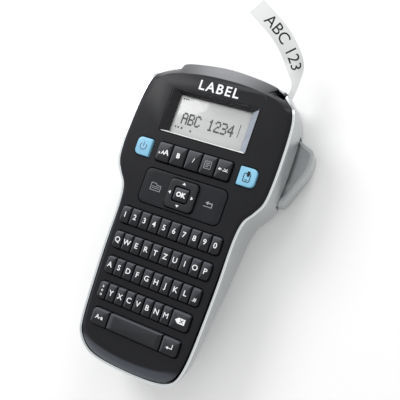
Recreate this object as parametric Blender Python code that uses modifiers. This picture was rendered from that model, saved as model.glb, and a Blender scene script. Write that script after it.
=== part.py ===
# A handheld label maker that lies on its back: +Z is its front, +Y its top end, and the origin is
# the middle of its back face. Values are in millimetres and become metres in mm().
import math

import bmesh
import bpy
from mathutils import Matrix, Vector

FRONT_Z = 44.0  # flat front face
KEY_TOP_Z = 46.0
WALL = 2.2  # thickness of both shells
GAP = 0.3  # clearance between neighbours
FRONT_SKIRT = 2.5  # straight edge of the front shell
LIP = 2.0  # how far the rear shell stands out around the front shell
HANDLE_RISE_Y = -30.0  # below this the back of the handle curves up
HANDLE_RISE = 21.0  # how far the back has risen at the bottom end
BOTTOM_Y = -102.0
ARC_STEPS = 2  # samples between two outline points
CHORD = 4  # samples to each side that set the outward direction

PANEL_TOP_Z = 44.5  # top of the panel around the navigation ring
FLANGE_Z = 38.0  # underside of the key flanges
FLANGE = 1.4  # thickness of a flange
FLANGE_OUT = 0.7  # how far a flange reaches under the shell
KEY_GAP = 0.4  # between a key and its opening
ROW_Y = -8.0  # middle of the number row
ROW_PITCH = 16.5
ROW_HEIGHT = 11.1
KEY_PITCH = 7.0  # in the number row
PITCH_TAPER = 0.0243  # each row is narrower than the one above by this share
KEY_GROOVE = 0.8  # between two keys of a row
KEY_DRAFT = 0.45  # a key's top is narrower by this on each side
CLOSE_GAP = 0.6  # between keys that share one opening

MAT_Z = 34.9
MAT_THICK = 1.2
BOARD_Z = 33.0
BOARD_THICK = 1.6
PLATE_Z = 25.0  # mechanism plate
PLATE_THICK = 1.6
GEAR_Z = 27.2
GEAR_THICK = 3.0
MODULE = 1.0

DISPLAY = (0.0, 64.9, 60.2, 29.8)  # x, y, width and height of the opening
GLASS = (0.0, 64.4, 49.8, 25.4)
DISPLAY_DEPTH = 4.0

MOTOR = (26.5, 44.5)
PLATEN = (35.2, 77.0)
HEAD_POINT = Vector((30.5, 79.0))  # where the label is printed
SLOT_POINT = Vector((38.6, 94.9))  # where the label leaves the shell
LABEL_WIDTH = 12.0
LABEL_THICK = 0.4
LABEL_LOW_Z = 14.4

LEVER_PIVOT = (46.5, 31.0)
LEVER_Z = (5.0, 22.0)
LEVER_RIM = 2.0  # height and width of the rim around the lever's face

BOSSES = [(-34.6, 3.0), (34.6, 3.0), (-18.0, -86.0), (18.0, -86.0), (-40.5, 82.0), (45.4, 80.6)]
PLATE_POSTS = [(-43.0, 31.0), (17.5, 30.5)]
BOSS_RADIUS = 3.8
BOSS_SPLIT_Z = 24.6  # rear bosses end here, and front ones start above the mechanism plate
SCREW_SEAT_Z = 20.5

BATTERY_RADIUS = 5.25
BATTERY_LENGTH = 44.5
BATTERY_Y = (-67.0, -22.5)
BATTERY_Z = 20.5
BATTERY_COUNT = 6

# Outlines run from the bottom centre up one side, then over the top to the other side.
SIDE = [(18, -98.9), (28.5, -95.3), (34, -87.5), (36.4, -76), (37.6, -55), (38.4, -30), (39.2, -4),
        (41, 9.5), (45.8, 17), (49.8, 24.5), (51.2, 36)]
SIDE_CREASE = [(17, -90.3), (26.5, -87.6), (31.6, -82), (34.2, -73), (35.6, -54), (36.4, -30),
               (37.1, -5), (38.8, 10.6), (44, 18.4), (47.8, 25.5), (49.1, 36)]
TOP = [(51.6, 52), (51.3, 68), (50.2, 78), (47.6, 84.3), (43.5, 88.4), (39, 90.8), (35.2, 92.4),
       (33.2, 94.4), (33.9, 97.3), (20, 100.2), (0, 102), (-18, 101), (-30.7, 98.9), (-33.6, 95.2),
       (-38, 92.8), (-42.3, 89.6), (-45.8, 84.8), (-48.2, 77), (-49.8, 66), (-50.8, 51)]
TOP_CREASE = [(49.4, 52), (49, 67.5), (47.6, 77), (45, 81.8), (41.3, 85.3), (37.5, 87.2), (33.5, 88.5),
              (30.5, 89.3), (27.5, 89.9), (15, 91.6), (0, 92.1), (-14, 91.6), (-26, 89.9), (-31, 88.8),
              (-35.3, 87.5), (-39.6, 85.2), (-43, 81.5), (-45.8, 75.5), (-47.6, 65.5), (-48.6, 51)]
TOP_REAR = [(53.6, 52), (53.3, 68.3), (52.1, 78.8), (49.2, 85.8), (45, 90.2), (42.4, 92.6), (40.6, 94.6),
            (38, 96.9), (33.8, 98.2), (20, 98.6), (0, 100.3), (-18, 99.6), (-31.5, 99.9), (-35.3, 96.9),
            (-39.5, 94.6), (-44, 91), (-47.7, 85.8), (-50.2, 77.4), (-51.8, 66.3), (-52.8, 51)]


def mm(*values):
    return Vector(v * 0.001 for v in values) if len(values) > 1 else values[0] * 0.001


def clear_scene():
    for obj in list(bpy.data.objects):
        bpy.data.objects.remove(obj, do_unlink=True)


def add_collection(name):
    collection = bpy.data.collections.new(name)
    bpy.context.scene.collection.children.link(collection)
    return collection


def add_material(name, colour, roughness, metallic=0.0):
    material = bpy.data.materials.new(name)
    material.use_nodes = True
    shader = material.node_tree.nodes["Principled BSDF"]
    shader.inputs["Base Color"].default_value = (*colour, 1.0)
    shader.inputs["Roughness"].default_value = roughness
    shader.inputs["Metallic"].default_value = metallic
    material.diffuse_color = (*colour, 1.0)
    return material


def add_object(name, data, material=None, place=(0, 0, 0)):
    obj = bpy.data.objects.new(name, data)
    obj.location = mm(*place)
    (PARTS if material else CUTTERS).objects.link(obj)
    if material:
        data.materials.append(MATERIALS[material])
    else:
        obj.hide_render = True
        obj.display_type = "WIRE"
    return obj


def mesh_from(name, bm):
    bmesh.ops.recalc_face_normals(bm, faces=bm.faces)
    mesh = bpy.data.meshes.new(name)
    bm.to_mesh(mesh)
    bm.free()
    return mesh


def boolean(target, operation, *tools):
    for tool in tools:
        modifier = target.modifiers.new(f"{operation.lower()} {tool.name}", "BOOLEAN")
        modifier.operation = operation
        modifier.solver = "EXACT"
        modifier.object = tool


def box(name, low, high, material=None, corner=0.0, place=(0, 0, 0)):
    """A block between two corners, whose upright edges may be rounded."""
    bm = bmesh.new()
    bmesh.ops.create_cube(bm, size=1.0)
    size = Vector(h - l for l, h in zip(low, high))
    middle = Vector((h + l) / 2 for l, h in zip(low, high))
    bm.transform(Matrix.Translation(mm(*middle)) @ Matrix.Diagonal((*mm(*size), 1.0)))
    if corner:
        upright = [e for e in bm.edges if abs(e.verts[0].co.z - e.verts[1].co.z) > mm(0.01)]
        bmesh.ops.bevel(bm, geom=upright, offset=mm(corner), segments=2, profile=0.5, affect="EDGES")
    return add_object(name, mesh_from(name, bm), material, place)


def rod(name, x, y, low_z, high_z, radius, material=None, sides=16):
    bm = bmesh.new()
    bmesh.ops.create_cone(bm, cap_ends=True, segments=sides, radius1=mm(radius), radius2=mm(radius),
                          depth=mm(high_z - low_z))
    bm.transform(Matrix.Translation(mm(x, y, (low_z + high_z) / 2)))
    return add_object(name, mesh_from(name, bm), material)


def turned(name, profile, place, material, steps=16):
    """A solid of revolution about its local Z, from (radius, z) points that run from top to bottom."""
    mesh = bpy.data.meshes.new(name)
    points = [mm(radius, 0, z) for radius, z in profile]
    mesh.from_pydata(points, [(i, i + 1) for i in range(len(points) - 1)], [])
    obj = add_object(name, mesh, material, place)
    screw = obj.modifiers.new("turn", "SCREW")
    screw.steps = screw.render_steps = steps
    screw.use_merge_vertices = True
    screw.merge_threshold = 1e-6
    return obj


def flat_shape(name, outlines, low_z, high_z, material=None, place=(0, 0, 0), upright=False):
    """A plate from closed outlines, the inner ones being holes. Upright plates lie in XZ."""
    curve = bpy.data.curves.new(name, "CURVE")
    curve.dimensions = "2D"
    curve.fill_mode = "BOTH"
    curve.extrude = mm((high_z - low_z) / 2)
    for outline in outlines:
        spline = curve.splines.new("POLY")
        spline.points.add(len(outline) - 1)
        for point, (x, y) in zip(spline.points, outline):
            point.co = (mm(x), mm(y), 0, 1)
        spline.use_cyclic_u = True
    shape = bpy.data.objects.new(name, curve)
    CUTTERS.objects.link(shape)
    mesh = bpy.data.meshes.new_from_object(shape.evaluated_get(bpy.context.evaluated_depsgraph_get()))
    bpy.data.objects.remove(shape)
    bm = bmesh.new()
    bm.from_mesh(mesh)
    bmesh.ops.remove_doubles(bm, verts=bm.verts, dist=1e-7)
    middle = (low_z + high_z) / 2
    turn = Matrix.Rotation(math.radians(90), 4, "X") if upright else Matrix.Identity(4)
    bm.transform(Matrix.Translation(mm(0, middle, 0) if upright else mm(0, 0, middle)) @ turn)
    return add_object(name, mesh_from(name, bm), material, place)


def stack(name, rings, material=None, place=(0, 0, 0), strips=False):
    """A closed solid through rings of (x, y, z) points, from the lowest ring to the highest.

    Rings that aren't flat are closed in strips from side to side."""
    bm = bmesh.new()
    layers = [[bm.verts.new(mm(*point)) for point in ring] for ring in rings]
    for low, high in zip(layers, layers[1:]):
        for i in range(len(low)):
            bm.faces.new((low[i - 1], low[i], high[i], high[i - 1]))
    for cap in (layers[0], layers[-1]):
        if not strips:
            bm.faces.new(cap)
            continue
        count = len(cap)
        for i in range(count // 2):
            corners = dict.fromkeys((cap[i], cap[i + 1], cap[(-i - 1) % count], cap[-i % count]))
            bm.faces.new(tuple(corners))
    return add_object(name, mesh_from(name, bm), material, place)


def rounded(x, y, width, height, radius, z, segments=2, square=""):
    """Points of a rounded rectangle. The corners named in square, such as 'left', stay sharp."""
    points = []
    for quarter, (sx, sy) in enumerate(((1, 1), (-1, 1), (-1, -1), (1, -1))):
        sharp = (square == "left" and sx < 0) or (square == "right" and sx > 0)
        r = 0.3 if sharp else radius
        cx, cy = x + sx * (width / 2 - r), y + sy * (height / 2 - r)
        for step in range(segments + 1):
            angle = math.radians(90 * (quarter + step / segments))
            points.append((cx + r * math.cos(angle), cy + r * math.sin(angle), z))
    return points


def circle(x, y, radius, sides=16):
    return [(x + radius * math.cos(2 * math.pi * i / sides), y + radius * math.sin(2 * math.pi * i / sides))
            for i in range(sides)]


def catmull(before, start, end, after, t):
    return tuple(0.5 * (2 * b + (c - a) * t + (2 * a - 5 * b + 4 * c - d) * t * t
                        + (3 * b - a - 3 * c + d) * t * t * t)
                 for a, b, c, d in zip(before, start, end, after))


def smooth_loop(points, steps=ARC_STEPS):
    """Samples of a smooth closed curve through the points."""
    count = len(points)
    return [catmull(points[i - 1], points[i], points[(i + 1) % count], points[(i + 2) % count], s / steps)
            for i in range(count) for s in range(steps)]


def smooth_path(points, count):
    """Samples of a smooth open curve through the points."""
    padded = [points[0], *points, points[-1]]
    samples = []
    for n in range(count):
        place = n / (count - 1) * (len(points) - 1)
        span = min(int(place), len(points) - 2)
        samples.append(Vector(catmull(*padded[span:span + 4], place - span)))
    return samples


def shell_outline(bottom_y, side, top, out=0.0):
    """The closed outline of a shell, with the side's points pushed out by out."""
    right = [(x + out, y - out * min(1.0, max(0.0, (-y - 60) / 40))) for x, y in side]
    left = [(-x, y) for x, y in reversed(right)]
    return smooth_loop([(0.0, bottom_y), *right, *top, *left])


def ease(value):
    value = min(1.0, max(0.0, value))
    return value * value * (3 - 2 * value)


def edge_z(y):
    """Height of the front shell's outer edge, lower at the visor and at the bottom end."""
    return 43.0 - 8.0 * ease((y - 82) / 14) - 5.0 * ease((-y - 84) / 16)


def lip_lift(y):
    """How far the rear shell's lip rises beside the skirt, fading out before the visor."""
    return 0.05 + 2.2 * (1 - ease((y - 85) / 5))


def back_z(y):
    rise = max(0.0, (HANDLE_RISE_Y - y) / (HANDLE_RISE_Y - BOTTOM_Y))
    return HANDLE_RISE * rise ** 1.6


def outward(outline, i):
    """Outward direction at a sample, from a chord long enough to pass over small steps."""
    ahead, behind = outline[(i + CHORD) % len(outline)], outline[i - CHORD]
    return Vector((ahead[1] - behind[1], behind[0] - ahead[0])).normalized()


def moved_in(outline, distance):
    """The outline with each sample moved inwards."""
    points = []
    for i, (x, y) in enumerate(outline):
        normal = outward(outline, i)
        points.append((x - normal.x * distance, y - normal.y * distance))
    return points


def add_hollow(name, outer, inner, material):
    """A shell: one stack of rings with another taken out of it. Both are closed in strips."""
    shell = stack(name, outer, material, strips=True)
    boolean(shell, "DIFFERENCE", stack(f"{name}_inside", inner, strips=True))
    return shell


def front_rings(wall):
    """Rings from the skirt up to the face, for the outside or, with a wall, for the inside."""
    edge = shell_outline(-100.0, SIDE, TOP)
    crease = shell_outline(-91.6, SIDE_CREASE, TOP_CREASE)
    heights = [edge_z(y) for x, y in edge]
    edge, crease = moved_in(edge, wall), moved_in(crease, wall * 0.6)
    low = FRONT_SKIRT + wall  # the inside runs out below the skirt
    skirt = [(x, y, z - low) for (x, y), z in zip(edge, heights)]
    rim = [(x, y, z - wall * 0.7) for (x, y), z in zip(edge, heights)]
    shoulder = [((ex + 2 * cx) / 3, (ey + 2 * cy) / 3, z + (FRONT_Z - z) * 0.86 - wall)
                for (ex, ey), (cx, cy), z in zip(edge, crease, heights)]
    return [skirt, rim, shoulder, [(x, y, FRONT_Z - wall) for x, y in crease]]


def hull_rings(wall):
    """Rings of the rear shell from its back up to its lip, rounder towards the bottom end."""
    outline = shell_outline(BOTTOM_Y, SIDE, TOP_REAR, LIP)
    seat = 0.05 if wall else 0.0
    rims = [edge_z(y) - FRONT_SKIRT - GAP - seat for x, y in outline]
    rings = []
    for level in (1.0, 0.96, 0.87, 0.75, 0.6, 0.35, 0.1, 0.0):
        ring = []
        for i, ((x, y), rim) in enumerate(zip(outline, rims)):
            handle = ease((20 - y) / 90)
            radius = 7.0 + 7.0 * handle
            depth = rim - back_z(y)
            bulge = (1 - handle) * 1.6 * math.sin(math.pi * min(1.0, level * 1.1))
            curve = max(0.0, (level - 1) * depth / radius + 1)
            inset = 0.13 * handle * depth * level + radius * (1 - math.sqrt(1 - curve * curve)) - bulge + wall
            normal = outward(outline, i)
            px, py = x - normal.x * inset, y - normal.y * inset
            back = back_z(py) + wall
            ring.append((px, py, rim + (back - rim) * level))
        rings.append(ring)
    lip = ((LIP - GAP, 0.0), (LIP - GAP, 5.0)) if wall else ((0.0, -0.3), (0.35, 0.0))
    for inset, lift in lip:
        rings.append([(x, y, rim + lift + (0.0 if wall else lip_lift(y)))
                      for (x, y), rim in zip(moved_in(outline, inset), rims)])
    return rings


def add_front_shell():
    shell = add_hollow("front_shell", front_rings(0.0), front_rings(WALL), "charcoal plastic")
    for number, (x, y) in enumerate(BOSSES, 1):
        low = BOSS_SPLIT_Z + PLATE_THICK + 2 * GAP
        boss = rod(f"front_boss_{number}", x, y, low, FRONT_Z - 1.5, BOSS_RADIUS - 0.4)
        hole = rod(f"front_boss_hole_{number}", x, y, 20, 36, 1.6, sides=12)
        boolean(shell, "UNION", boss)
        boolean(shell, "DIFFERENCE", hole)
    return shell


def add_rear_shell():
    shell = add_hollow("rear_shell", hull_rings(0.0), hull_rings(WALL), "silver plastic")
    for number, (x, y) in enumerate(BOSSES, 1):
        floor = back_z(y - BOSS_RADIUS) + WALL - 0.6
        seat = seat_z(y)
        boss = rod(f"rear_boss_{number}", x, y, floor, BOSS_SPLIT_Z, BOSS_RADIUS)
        pocket = rod(f"rear_boss_pocket_{number}", x, y, -5, seat, 2.9)
        hole = rod(f"rear_boss_hole_{number}", x, y, seat - 1, BOSS_SPLIT_Z + 5, 1.7, sides=12)
        boolean(shell, "UNION", boss)
        boolean(shell, "DIFFERENCE", pocket, hole)
    for number, (x, y) in enumerate(PLATE_POSTS, 1):
        boolean(shell, "UNION", rod(f"plate_post_{number}", x, y, 0.4, BOSS_SPLIT_Z, 2.4, sides=12))
    return shell


def seat_z(y):
    """Height of the seat under a screw's head, which stays clear of the rising back."""
    return max(SCREW_SEAT_Z, back_z(y) + WALL + 1.8)


def add_screws():
    """Pan-head screws with a cross recess, put in from the back."""
    shank, head, tip = 1.25, 2.5, 34.0
    for number, (x, y) in enumerate(BOSSES, 1):
        seat = seat_z(y) - GAP
        profile = [(0, tip), (0.9, tip - 0.8), (shank, tip - 1.6), (shank, seat), (head, seat),
                   (head, seat - 0.9), (1.6, seat - 1.8), (0, seat - 1.8)]
        screw = turned(f"case_screw_{number}", profile, (x, y, 0), "steel", steps=12)
        low = seat - 2.3
        for turn, (dx, dy) in enumerate(((1.5, 0.35), (0.35, 1.5))):
            slot = box(f"screw_slot_{number}_{turn}", (x - dx, y - dy, low), (x + dx, y + dy, low + 1.5))
            boolean(screw, "DIFFERENCE", slot)


def row_y(row):
    return ROW_Y - ROW_PITCH * row


def row_pitch(row):
    return KEY_PITCH * (1 - PITCH_TAPER * row)


def opening(name, x, y, width, height, radius=0.6, square=""):
    """A cutter that leaves a gap around a key of this size."""
    w, h = width + 2 * KEY_GAP, height + 2 * KEY_GAP
    low = rounded(x, y, w, h, radius + KEY_GAP, FLANGE_Z + FLANGE, square=square)
    high = rounded(x, y, w, h, radius + KEY_GAP, FRONT_Z + 4, square=square)
    return stack(name, [low, high])


def add_key(name, x, y, width, height, material, radius=0.8, square="", top=KEY_TOP_Z, hollow=None,
            side_flange=FLANGE_OUT):
    """One key: a flange under the shell and a body with a softened top edge."""
    wide = (x, y, width + 2 * side_flange, height + 2 * FLANGE_OUT, radius + 0.3)
    body = (x, y, width, height, radius)
    soft = (x, y, width - 1.2, height - 1.2, max(0.3, radius - 0.4))
    rings = [rounded(*wide, FLANGE_Z, square=square), rounded(*wide, FLANGE_Z + FLANGE, square=square),
             rounded(*body, FLANGE_Z + FLANGE, square=square), rounded(*body, top - 0.5, square=square),
             rounded(*soft, top, square=square)]
    rings = [[(px - x, py - y, z - FLANGE_Z) for px, py, z in ring] for ring in rings]
    key = stack(name, rings, material, (x, y, FLANGE_Z))
    if hollow:
        boolean(key, "DIFFERENCE", hollow)
    boolean(FRONT, "DIFFERENCE", opening(f"{name}_opening", x, y, width, height, radius, square))
    return key


def add_key_row(name, row, left, count, material, pitch, right_web=FLANGE_OUT):
    """A strip of letter keys on one web, as a comb that stands upright and runs through Y."""
    width = pitch * count - KEY_GROOVE
    web_end = left + width + right_web
    outline = [(left - FLANGE_OUT, 0), (web_end, 0)]
    if right_web:
        outline.append((web_end, FLANGE))
    for n in reversed(range(count)):
        start, end = left + n * pitch, left + (n + 1) * pitch - KEY_GROOVE
        top = KEY_TOP_Z - FLANGE_Z
        outline += [(end, FLANGE), (end - KEY_DRAFT, top), (start + KEY_DRAFT, top), (start, FLANGE)]
    outline.append((left - FLANGE_OUT, FLANGE))
    y = row_y(row)
    half = ROW_HEIGHT / 2
    strip = flat_shape(name, [outline], -half, half, material, (0, y, FLANGE_Z), upright=True)
    middle = left + width / 2
    boolean(FRONT, "DIFFERENCE", opening(f"{name}_opening", middle, y, width, ROW_HEIGHT))
    return strip


def add_letter_rows():
    for row, name in enumerate(("number_row_keys", "letter_row_1_keys", "letter_row_2_keys")):
        pitch = row_pitch(row)
        add_key_row(name, row, -(pitch * 10 - KEY_GROOVE) / 2, 10, "dark key", pitch)
    half, pitch, count = 32.0, row_pitch(3), 8
    add_key_row("letter_row_3_keys", 3, -half, count, "dark key", pitch, 0.0)
    backspace = 2 * half - pitch * count + KEY_GROOVE - CLOSE_GAP
    add_key("backspace_key", half - backspace / 2, row_y(3), backspace, ROW_HEIGHT, "dark key", side_flange=0.0)


def add_bottom_row():
    """Caps, space and enter. The row's pieces follow the taper of the rows above."""
    y = row_y(4)
    half, height = 30.6, ROW_HEIGHT - 0.6
    side_key = 11.5
    space = 2 * (half - side_key - CLOSE_GAP)
    for name, x, width in (("caps_key", side_key / 2 - half, side_key), ("space_key", 0.0, space),
                           ("enter_key", half - side_key / 2, side_key)):
        add_key(name, x, y, width, height, "dark key", side_flange=0.0)


def add_function_keys():
    pitch = 10.3
    names = ("text_size_key", "bold_key", "italic_key", "box_key", "underline_key")
    for n, name in enumerate(names):
        x = (n - 2) * pitch
        add_key(name, x, 37.1, pitch - CLOSE_GAP, 12.5, "dark key", side_flange=0.0)
    add_key("power_key", -35.7, 37.1, 10.7, 12.1, "blue key", 3.0, square="right", top=KEY_TOP_Z - 0.4)
    add_key("print_key", 36.2, 37.1, 11.7, 12.1, "blue key", 3.0, square="left", top=KEY_TOP_Z - 0.4)


def add_navigation():
    """A panel that rocks from side to side, a ring that rocks both ways, and a key in its middle."""
    x, y, width, height = 0.0, 14.3, 56.6, 22.8
    ring_width, ring_height = 20.0, 19.2
    ok_width, ok_height = 10.4, 9.2
    under = FLANGE_Z - 3
    around = (x, y, ring_width + 2 * KEY_GAP, ring_height + 2 * KEY_GAP, 3.4)
    hole = [rounded(*around, z) for z in (under, KEY_TOP_Z)]
    add_key("side_key_panel", x, y, width, height, "dark key", 4.0, top=PANEL_TOP_Z,
            hollow=stack("side_key_panel_hole", hole))
    hole = [rounded(x, y, ok_width + 0.9, ok_height + 0.9, 1.8, z) for z in (under, KEY_TOP_Z + 3)]
    add_single("nav_ring", x, y, ring_width, ring_height, 3.2, KEY_TOP_Z + 0.6)
    boolean(bpy.data.objects["nav_ring"], "DIFFERENCE", stack("nav_ring_hole", hole))
    add_single("ok_key", x, y, ok_width, ok_height, 1.4, KEY_TOP_Z + 0.3)
    plate = [rounded(x, y, ring_width - 2, ring_height - 2, 3.0, z) for z in (FLANGE_Z - 1.25, FLANGE_Z - 0.75)]
    plate = [[(px - x, py - y, z - FLANGE_Z) for px, py, z in ring] for ring in plate]
    rocker = stack("nav_rocker", plate, "grey plastic", (x, y, FLANGE_Z))
    hole = [rounded(x, y, ok_width + 1.5, ok_height + 1.5, 1.8, z) for z in (MAT_Z, FLANGE_Z + 1)]
    boolean(rocker, "DIFFERENCE", stack("nav_rocker_hole", hole))


def add_single(name, x, y, width, height, radius, top):
    """A key without a flange, guided by the piece around it."""
    body, soft = (x, y, width, height, radius), (x, y, width - 1.2, height - 1.2, radius - 0.4)
    rings = [rounded(*body, FLANGE_Z - 0.1), rounded(*body, top - 0.5), rounded(*soft, top)]
    rings = [[(px - x, py - y, z - FLANGE_Z) for px, py, z in ring] for ring in rings]
    return stack(name, rings, "dark key", (x, y, FLANGE_Z))


def add_display():
    x, y, width, height = DISPLAY
    gx, gy, glass_width, glass_height = GLASS
    floor = FRONT_Z - DISPLAY_DEPTH
    around = (x, y, width + 2 * GAP, height + 2 * GAP, 1.5)
    cut = stack("display_opening", [rounded(*around, z) for z in (38.5, 48)])
    boolean(FRONT, "DIFFERENCE", cut)
    outer = [rounded(x, y, width, height, 1.2, z) for z in (floor - 1.0, FRONT_Z - 0.1)]
    bezel = stack("display_bezel", outer, "bezel plastic")
    slope = [rounded(gx, gy, glass_width, glass_height, 0.6, z) for z in (floor - 2, floor)]
    slope += [rounded(x, y, width - 0.9, height - 0.9, 1.0, z) for z in (FRONT_Z, FRONT_Z + 2)]
    boolean(bezel, "DIFFERENCE", stack("display_slope", slope))
    box("display_window", (gx - glass_width / 2 + GAP, gy - glass_height / 2 + GAP, floor - 0.7),
        (gx + glass_width / 2 - GAP, gy + glass_height / 2 - GAP, floor + 0.1), "clear plastic")
    box("lcd_module", (gx - 28, gy - 15, BOARD_Z + BOARD_THICK + GAP), (gx + 28, gy + 15, floor - 1.3),
        "lcd glass", 0.6)


def boss_holes(name, thing, radius):
    for number, (x, y) in enumerate(BOSSES, 1):
        boolean(thing, "DIFFERENCE", rod(f"{name}_boss_hole_{number}", x, y, 20, 45, radius, sides=12))


def add_boards():
    outline = [(-22, -80.5), (22, -80.5), (29.5, -74), (32.5, -60), (33.5, 0), (35, 24), (43, 30), (43, 76),
               (-43, 76), (-43, 30), (-35, 24), (-33.5, 0), (-32.5, -60), (-29.5, -74)]
    board = flat_shape("main_board", [outline], BOARD_Z, BOARD_Z + BOARD_THICK, "circuit board")
    boss_holes("board", board, BOSS_RADIUS + 0.4)
    outline = [(-21, -80), (21, -80), (31, -77), (33, -66), (35, -10), (36.5, 20), (43.5, 29), (43.5, 45),
               (-43.5, 45), (-43.5, 29), (-36.5, 20), (-35, -10), (-33, -66), (-31, -77)]
    mat = flat_shape("keypad_mat", [outline], MAT_Z, MAT_Z + MAT_THICK, "grey rubber")
    boss_holes("mat", mat, BOSS_RADIUS + 0.4)


def gear_outline(teeth, phase):
    """Pointed-trapezoid teeth on a pitch circle of MODULE * teeth / 2, with play between flanks."""
    pitch_radius = MODULE * teeth / 2
    root, tip = pitch_radius - 0.95 * MODULE, pitch_radius + 0.65 * MODULE
    outline = []
    for n in range(teeth):
        middle = phase + 2 * math.pi * n / teeth
        for radius, share in ((root, -0.30), (tip, -0.09), (tip, 0.09), (root, 0.30)):
            angle = middle + share * 2 * math.pi / teeth
            outline.append((radius * math.cos(angle), radius * math.sin(angle)))
    return outline


def add_gear(name, centre, teeth, phase, bore, material="gear plastic"):
    """A spur gear, with a bore unless that is 0."""
    outlines = [gear_outline(teeth, phase)]
    if bore:
        outlines.append(circle(0, 0, bore, 12))
    half = GEAR_THICK / 2
    return flat_shape(name, outlines, -half, half, material, (*centre, GEAR_Z + half))


def meeting_point(a, radius_a, b, radius_b, side):
    """Where two circles cross, on the given side of the line from a to b."""
    a, b = Vector(a), Vector(b)
    line = b - a
    along = (radius_a ** 2 - radius_b ** 2 + line.length_squared) / (2 * line.length)
    across = math.sqrt(radius_a ** 2 - along ** 2) * side
    unit = line.normalized()
    return a + unit * along + Vector((-unit.y, unit.x)) * across


def meshing_phase(driver, driver_teeth, driver_phase, driven, teeth):
    """Turns the driven gear so that one of its gaps faces the driver's tooth on their common line."""
    angle = math.atan2(driven[1] - driver[1], driven[0] - driver[0])
    offset = (angle - driver_phase) * driver_teeth / (2 * math.pi)
    offset -= math.floor(offset)
    return angle + math.pi + (offset + 0.5) * 2 * math.pi / teeth


def add_gears():
    pinion_teeth, idler_teeth, platen_teeth, spindle_teeth = 8, 24, 12, 16
    half = MODULE / 2
    idler = meeting_point(MOTOR, half * (pinion_teeth + idler_teeth),
                          PLATEN, half * (idler_teeth + platen_teeth), 1)
    spindle = idler + Vector((-half * (idler_teeth + spindle_teeth), 0))
    add_gear("motor_pinion", MOTOR, pinion_teeth, 0.0, 1.0 + GAP, "brass")
    phase = meshing_phase(MOTOR, pinion_teeth, 0.0, idler, idler_teeth)
    add_gear("idler_gear", idler, idler_teeth, phase, 1.5 + GAP)
    add_gear("platen_gear", PLATEN, platen_teeth,
             meshing_phase(idler, idler_teeth, phase, PLATEN, platen_teeth), 1.5 + GAP)
    spindle_phase = meshing_phase(idler, idler_teeth, phase, spindle, spindle_teeth)
    wheel = add_gear("take_up_wheel", spindle, spindle_teeth, spindle_phase, 0, None)
    roller = [(0, 31.5), (1.5, 31.5), (1.5, 22.8), (4.2, 22.8), (4.2, 12.2), (1.5, 12.2), (1.5, 8.5), (0, 8.5)]
    turned("platen_roller", roller, (*PLATEN, 0), "black rubber")
    spool = [(0, 31.5), (1.5, 31.5), (1.5, 23.5), (3.2, 22.8), (3.2, 6.0), (0, 6.0)]
    boolean(turned("take_up_spindle", spool, (*spindle, 0), "gear plastic"), "UNION", wheel)
    return idler, spindle


def add_mechanism():
    idler, spindle = add_gears()
    outline = [(-44, 28.5), (19.5, 28.5), (30, 32), (41, 36), (41, 70), (47, 75), (47, 80), (43.6, 83.5),
               (34, 83.5), (26, 88), (-38, 88), (-44.5, 84)]
    bottom, top = PLATE_Z, PLATE_Z + PLATE_THICK
    plate = flat_shape("mechanism_plate", [outline], bottom, top, "grey plastic")
    for name, (x, y), radius in (("motor", MOTOR, 4.0), ("platen", PLATEN, 1.8), ("spindle", spindle, 1.8)):
        boolean(plate, "DIFFERENCE", rod(f"plate_{name}_hole", x, y, bottom - 2, top + 2, radius))
    for number in (4, 5):
        x, y = BOSSES[number]
        boolean(plate, "DIFFERENCE", rod(f"plate_screw_hole_{number}", x, y, bottom - 2, top + 2, 1.7))
    axle = rod("idler_axle", *idler, bottom + 0.5, 31.5, 1.5)
    boolean(plate, "UNION", axle)
    motor = [(0, 31.2), (1.0, 31.2), (1.0, 24.4), (3.5, 24.4), (3.5, 23.4), (9.8, 23.4), (9.8, 6.2), (0, 6.2)]
    turned("drive_motor", motor, (*MOTOR, 0), "steel", steps=20)
    way = (SLOT_POINT - HEAD_POINT).normalized()
    side = Vector((way.y, -way.x))
    face, back = HEAD_POINT - side * 0.6, HEAD_POINT - side * 4.2
    outline = [tuple(corner) for corner in (face - way * 3, face + way * 3, back + way * 2.4, back - way * 2.4)]
    flat_shape("print_head", [outline], 10.5, 23.8, "steel")
    channel = [HEAD_POINT - way * 7 - side, HEAD_POINT - way * 7 + side, HEAD_POINT + way * 9 + side,
               HEAD_POINT + way * 9 - side]
    channel = flat_shape("plate_label_slot", [[tuple(corner) for corner in channel]], bottom - 2, top + 2)
    boolean(plate, "DIFFERENCE", channel)
    return spindle


def add_cassette(spindle):
    low, high = (-41.0, 33.6, 3.4), (16.0, 77.0, 22.0)
    case = box("tape_cassette", low, high, "white plastic", 3.0)
    supply = (-22.0, 55.5)
    boolean(case, "DIFFERENCE", rod("supply_bay", *supply, 5.0, 30, 15.5, sides=24),
            rod("take_up_bay", *spindle, 5.0, 30, 5.6, sides=20))
    inner, outer = 5.0, 14.5
    roll = [circle(*supply, outer, 24), circle(*supply, inner, 16)]
    flat_shape("tape_roll", roll, 5.0 + GAP, 19.0, "label tape")
    ribbon = [circle(*spindle, 5.2, 16), circle(*spindle, 3.2 + GAP, 16)]
    flat_shape("ribbon_spool", ribbon, 6.5, 19.0, "black rubber")


def label_route():
    """Middle line of the label from the print head, out of the slot and up in a curl."""
    start, slot = HEAD_POINT, SLOT_POINT
    inside_z = LABEL_LOW_Z + LABEL_WIDTH / 2
    way = (slot - start).normalized()
    return [(*(start - way * 4), inside_z), (*start.lerp(slot, 0.5), inside_z), (*slot, inside_z),
            (40.8, 104.4, 23.4), (39.7, 111.6, 27.0), (36.9, 117.6, 30.2), (32.3, 123.6, 34.0),
            (26.5, 129.2, 38.0), (20.4, 133.6, 41.6), (13.6, 137.5, 44.6), (6.7, 141.7, 46.8)]


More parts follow.
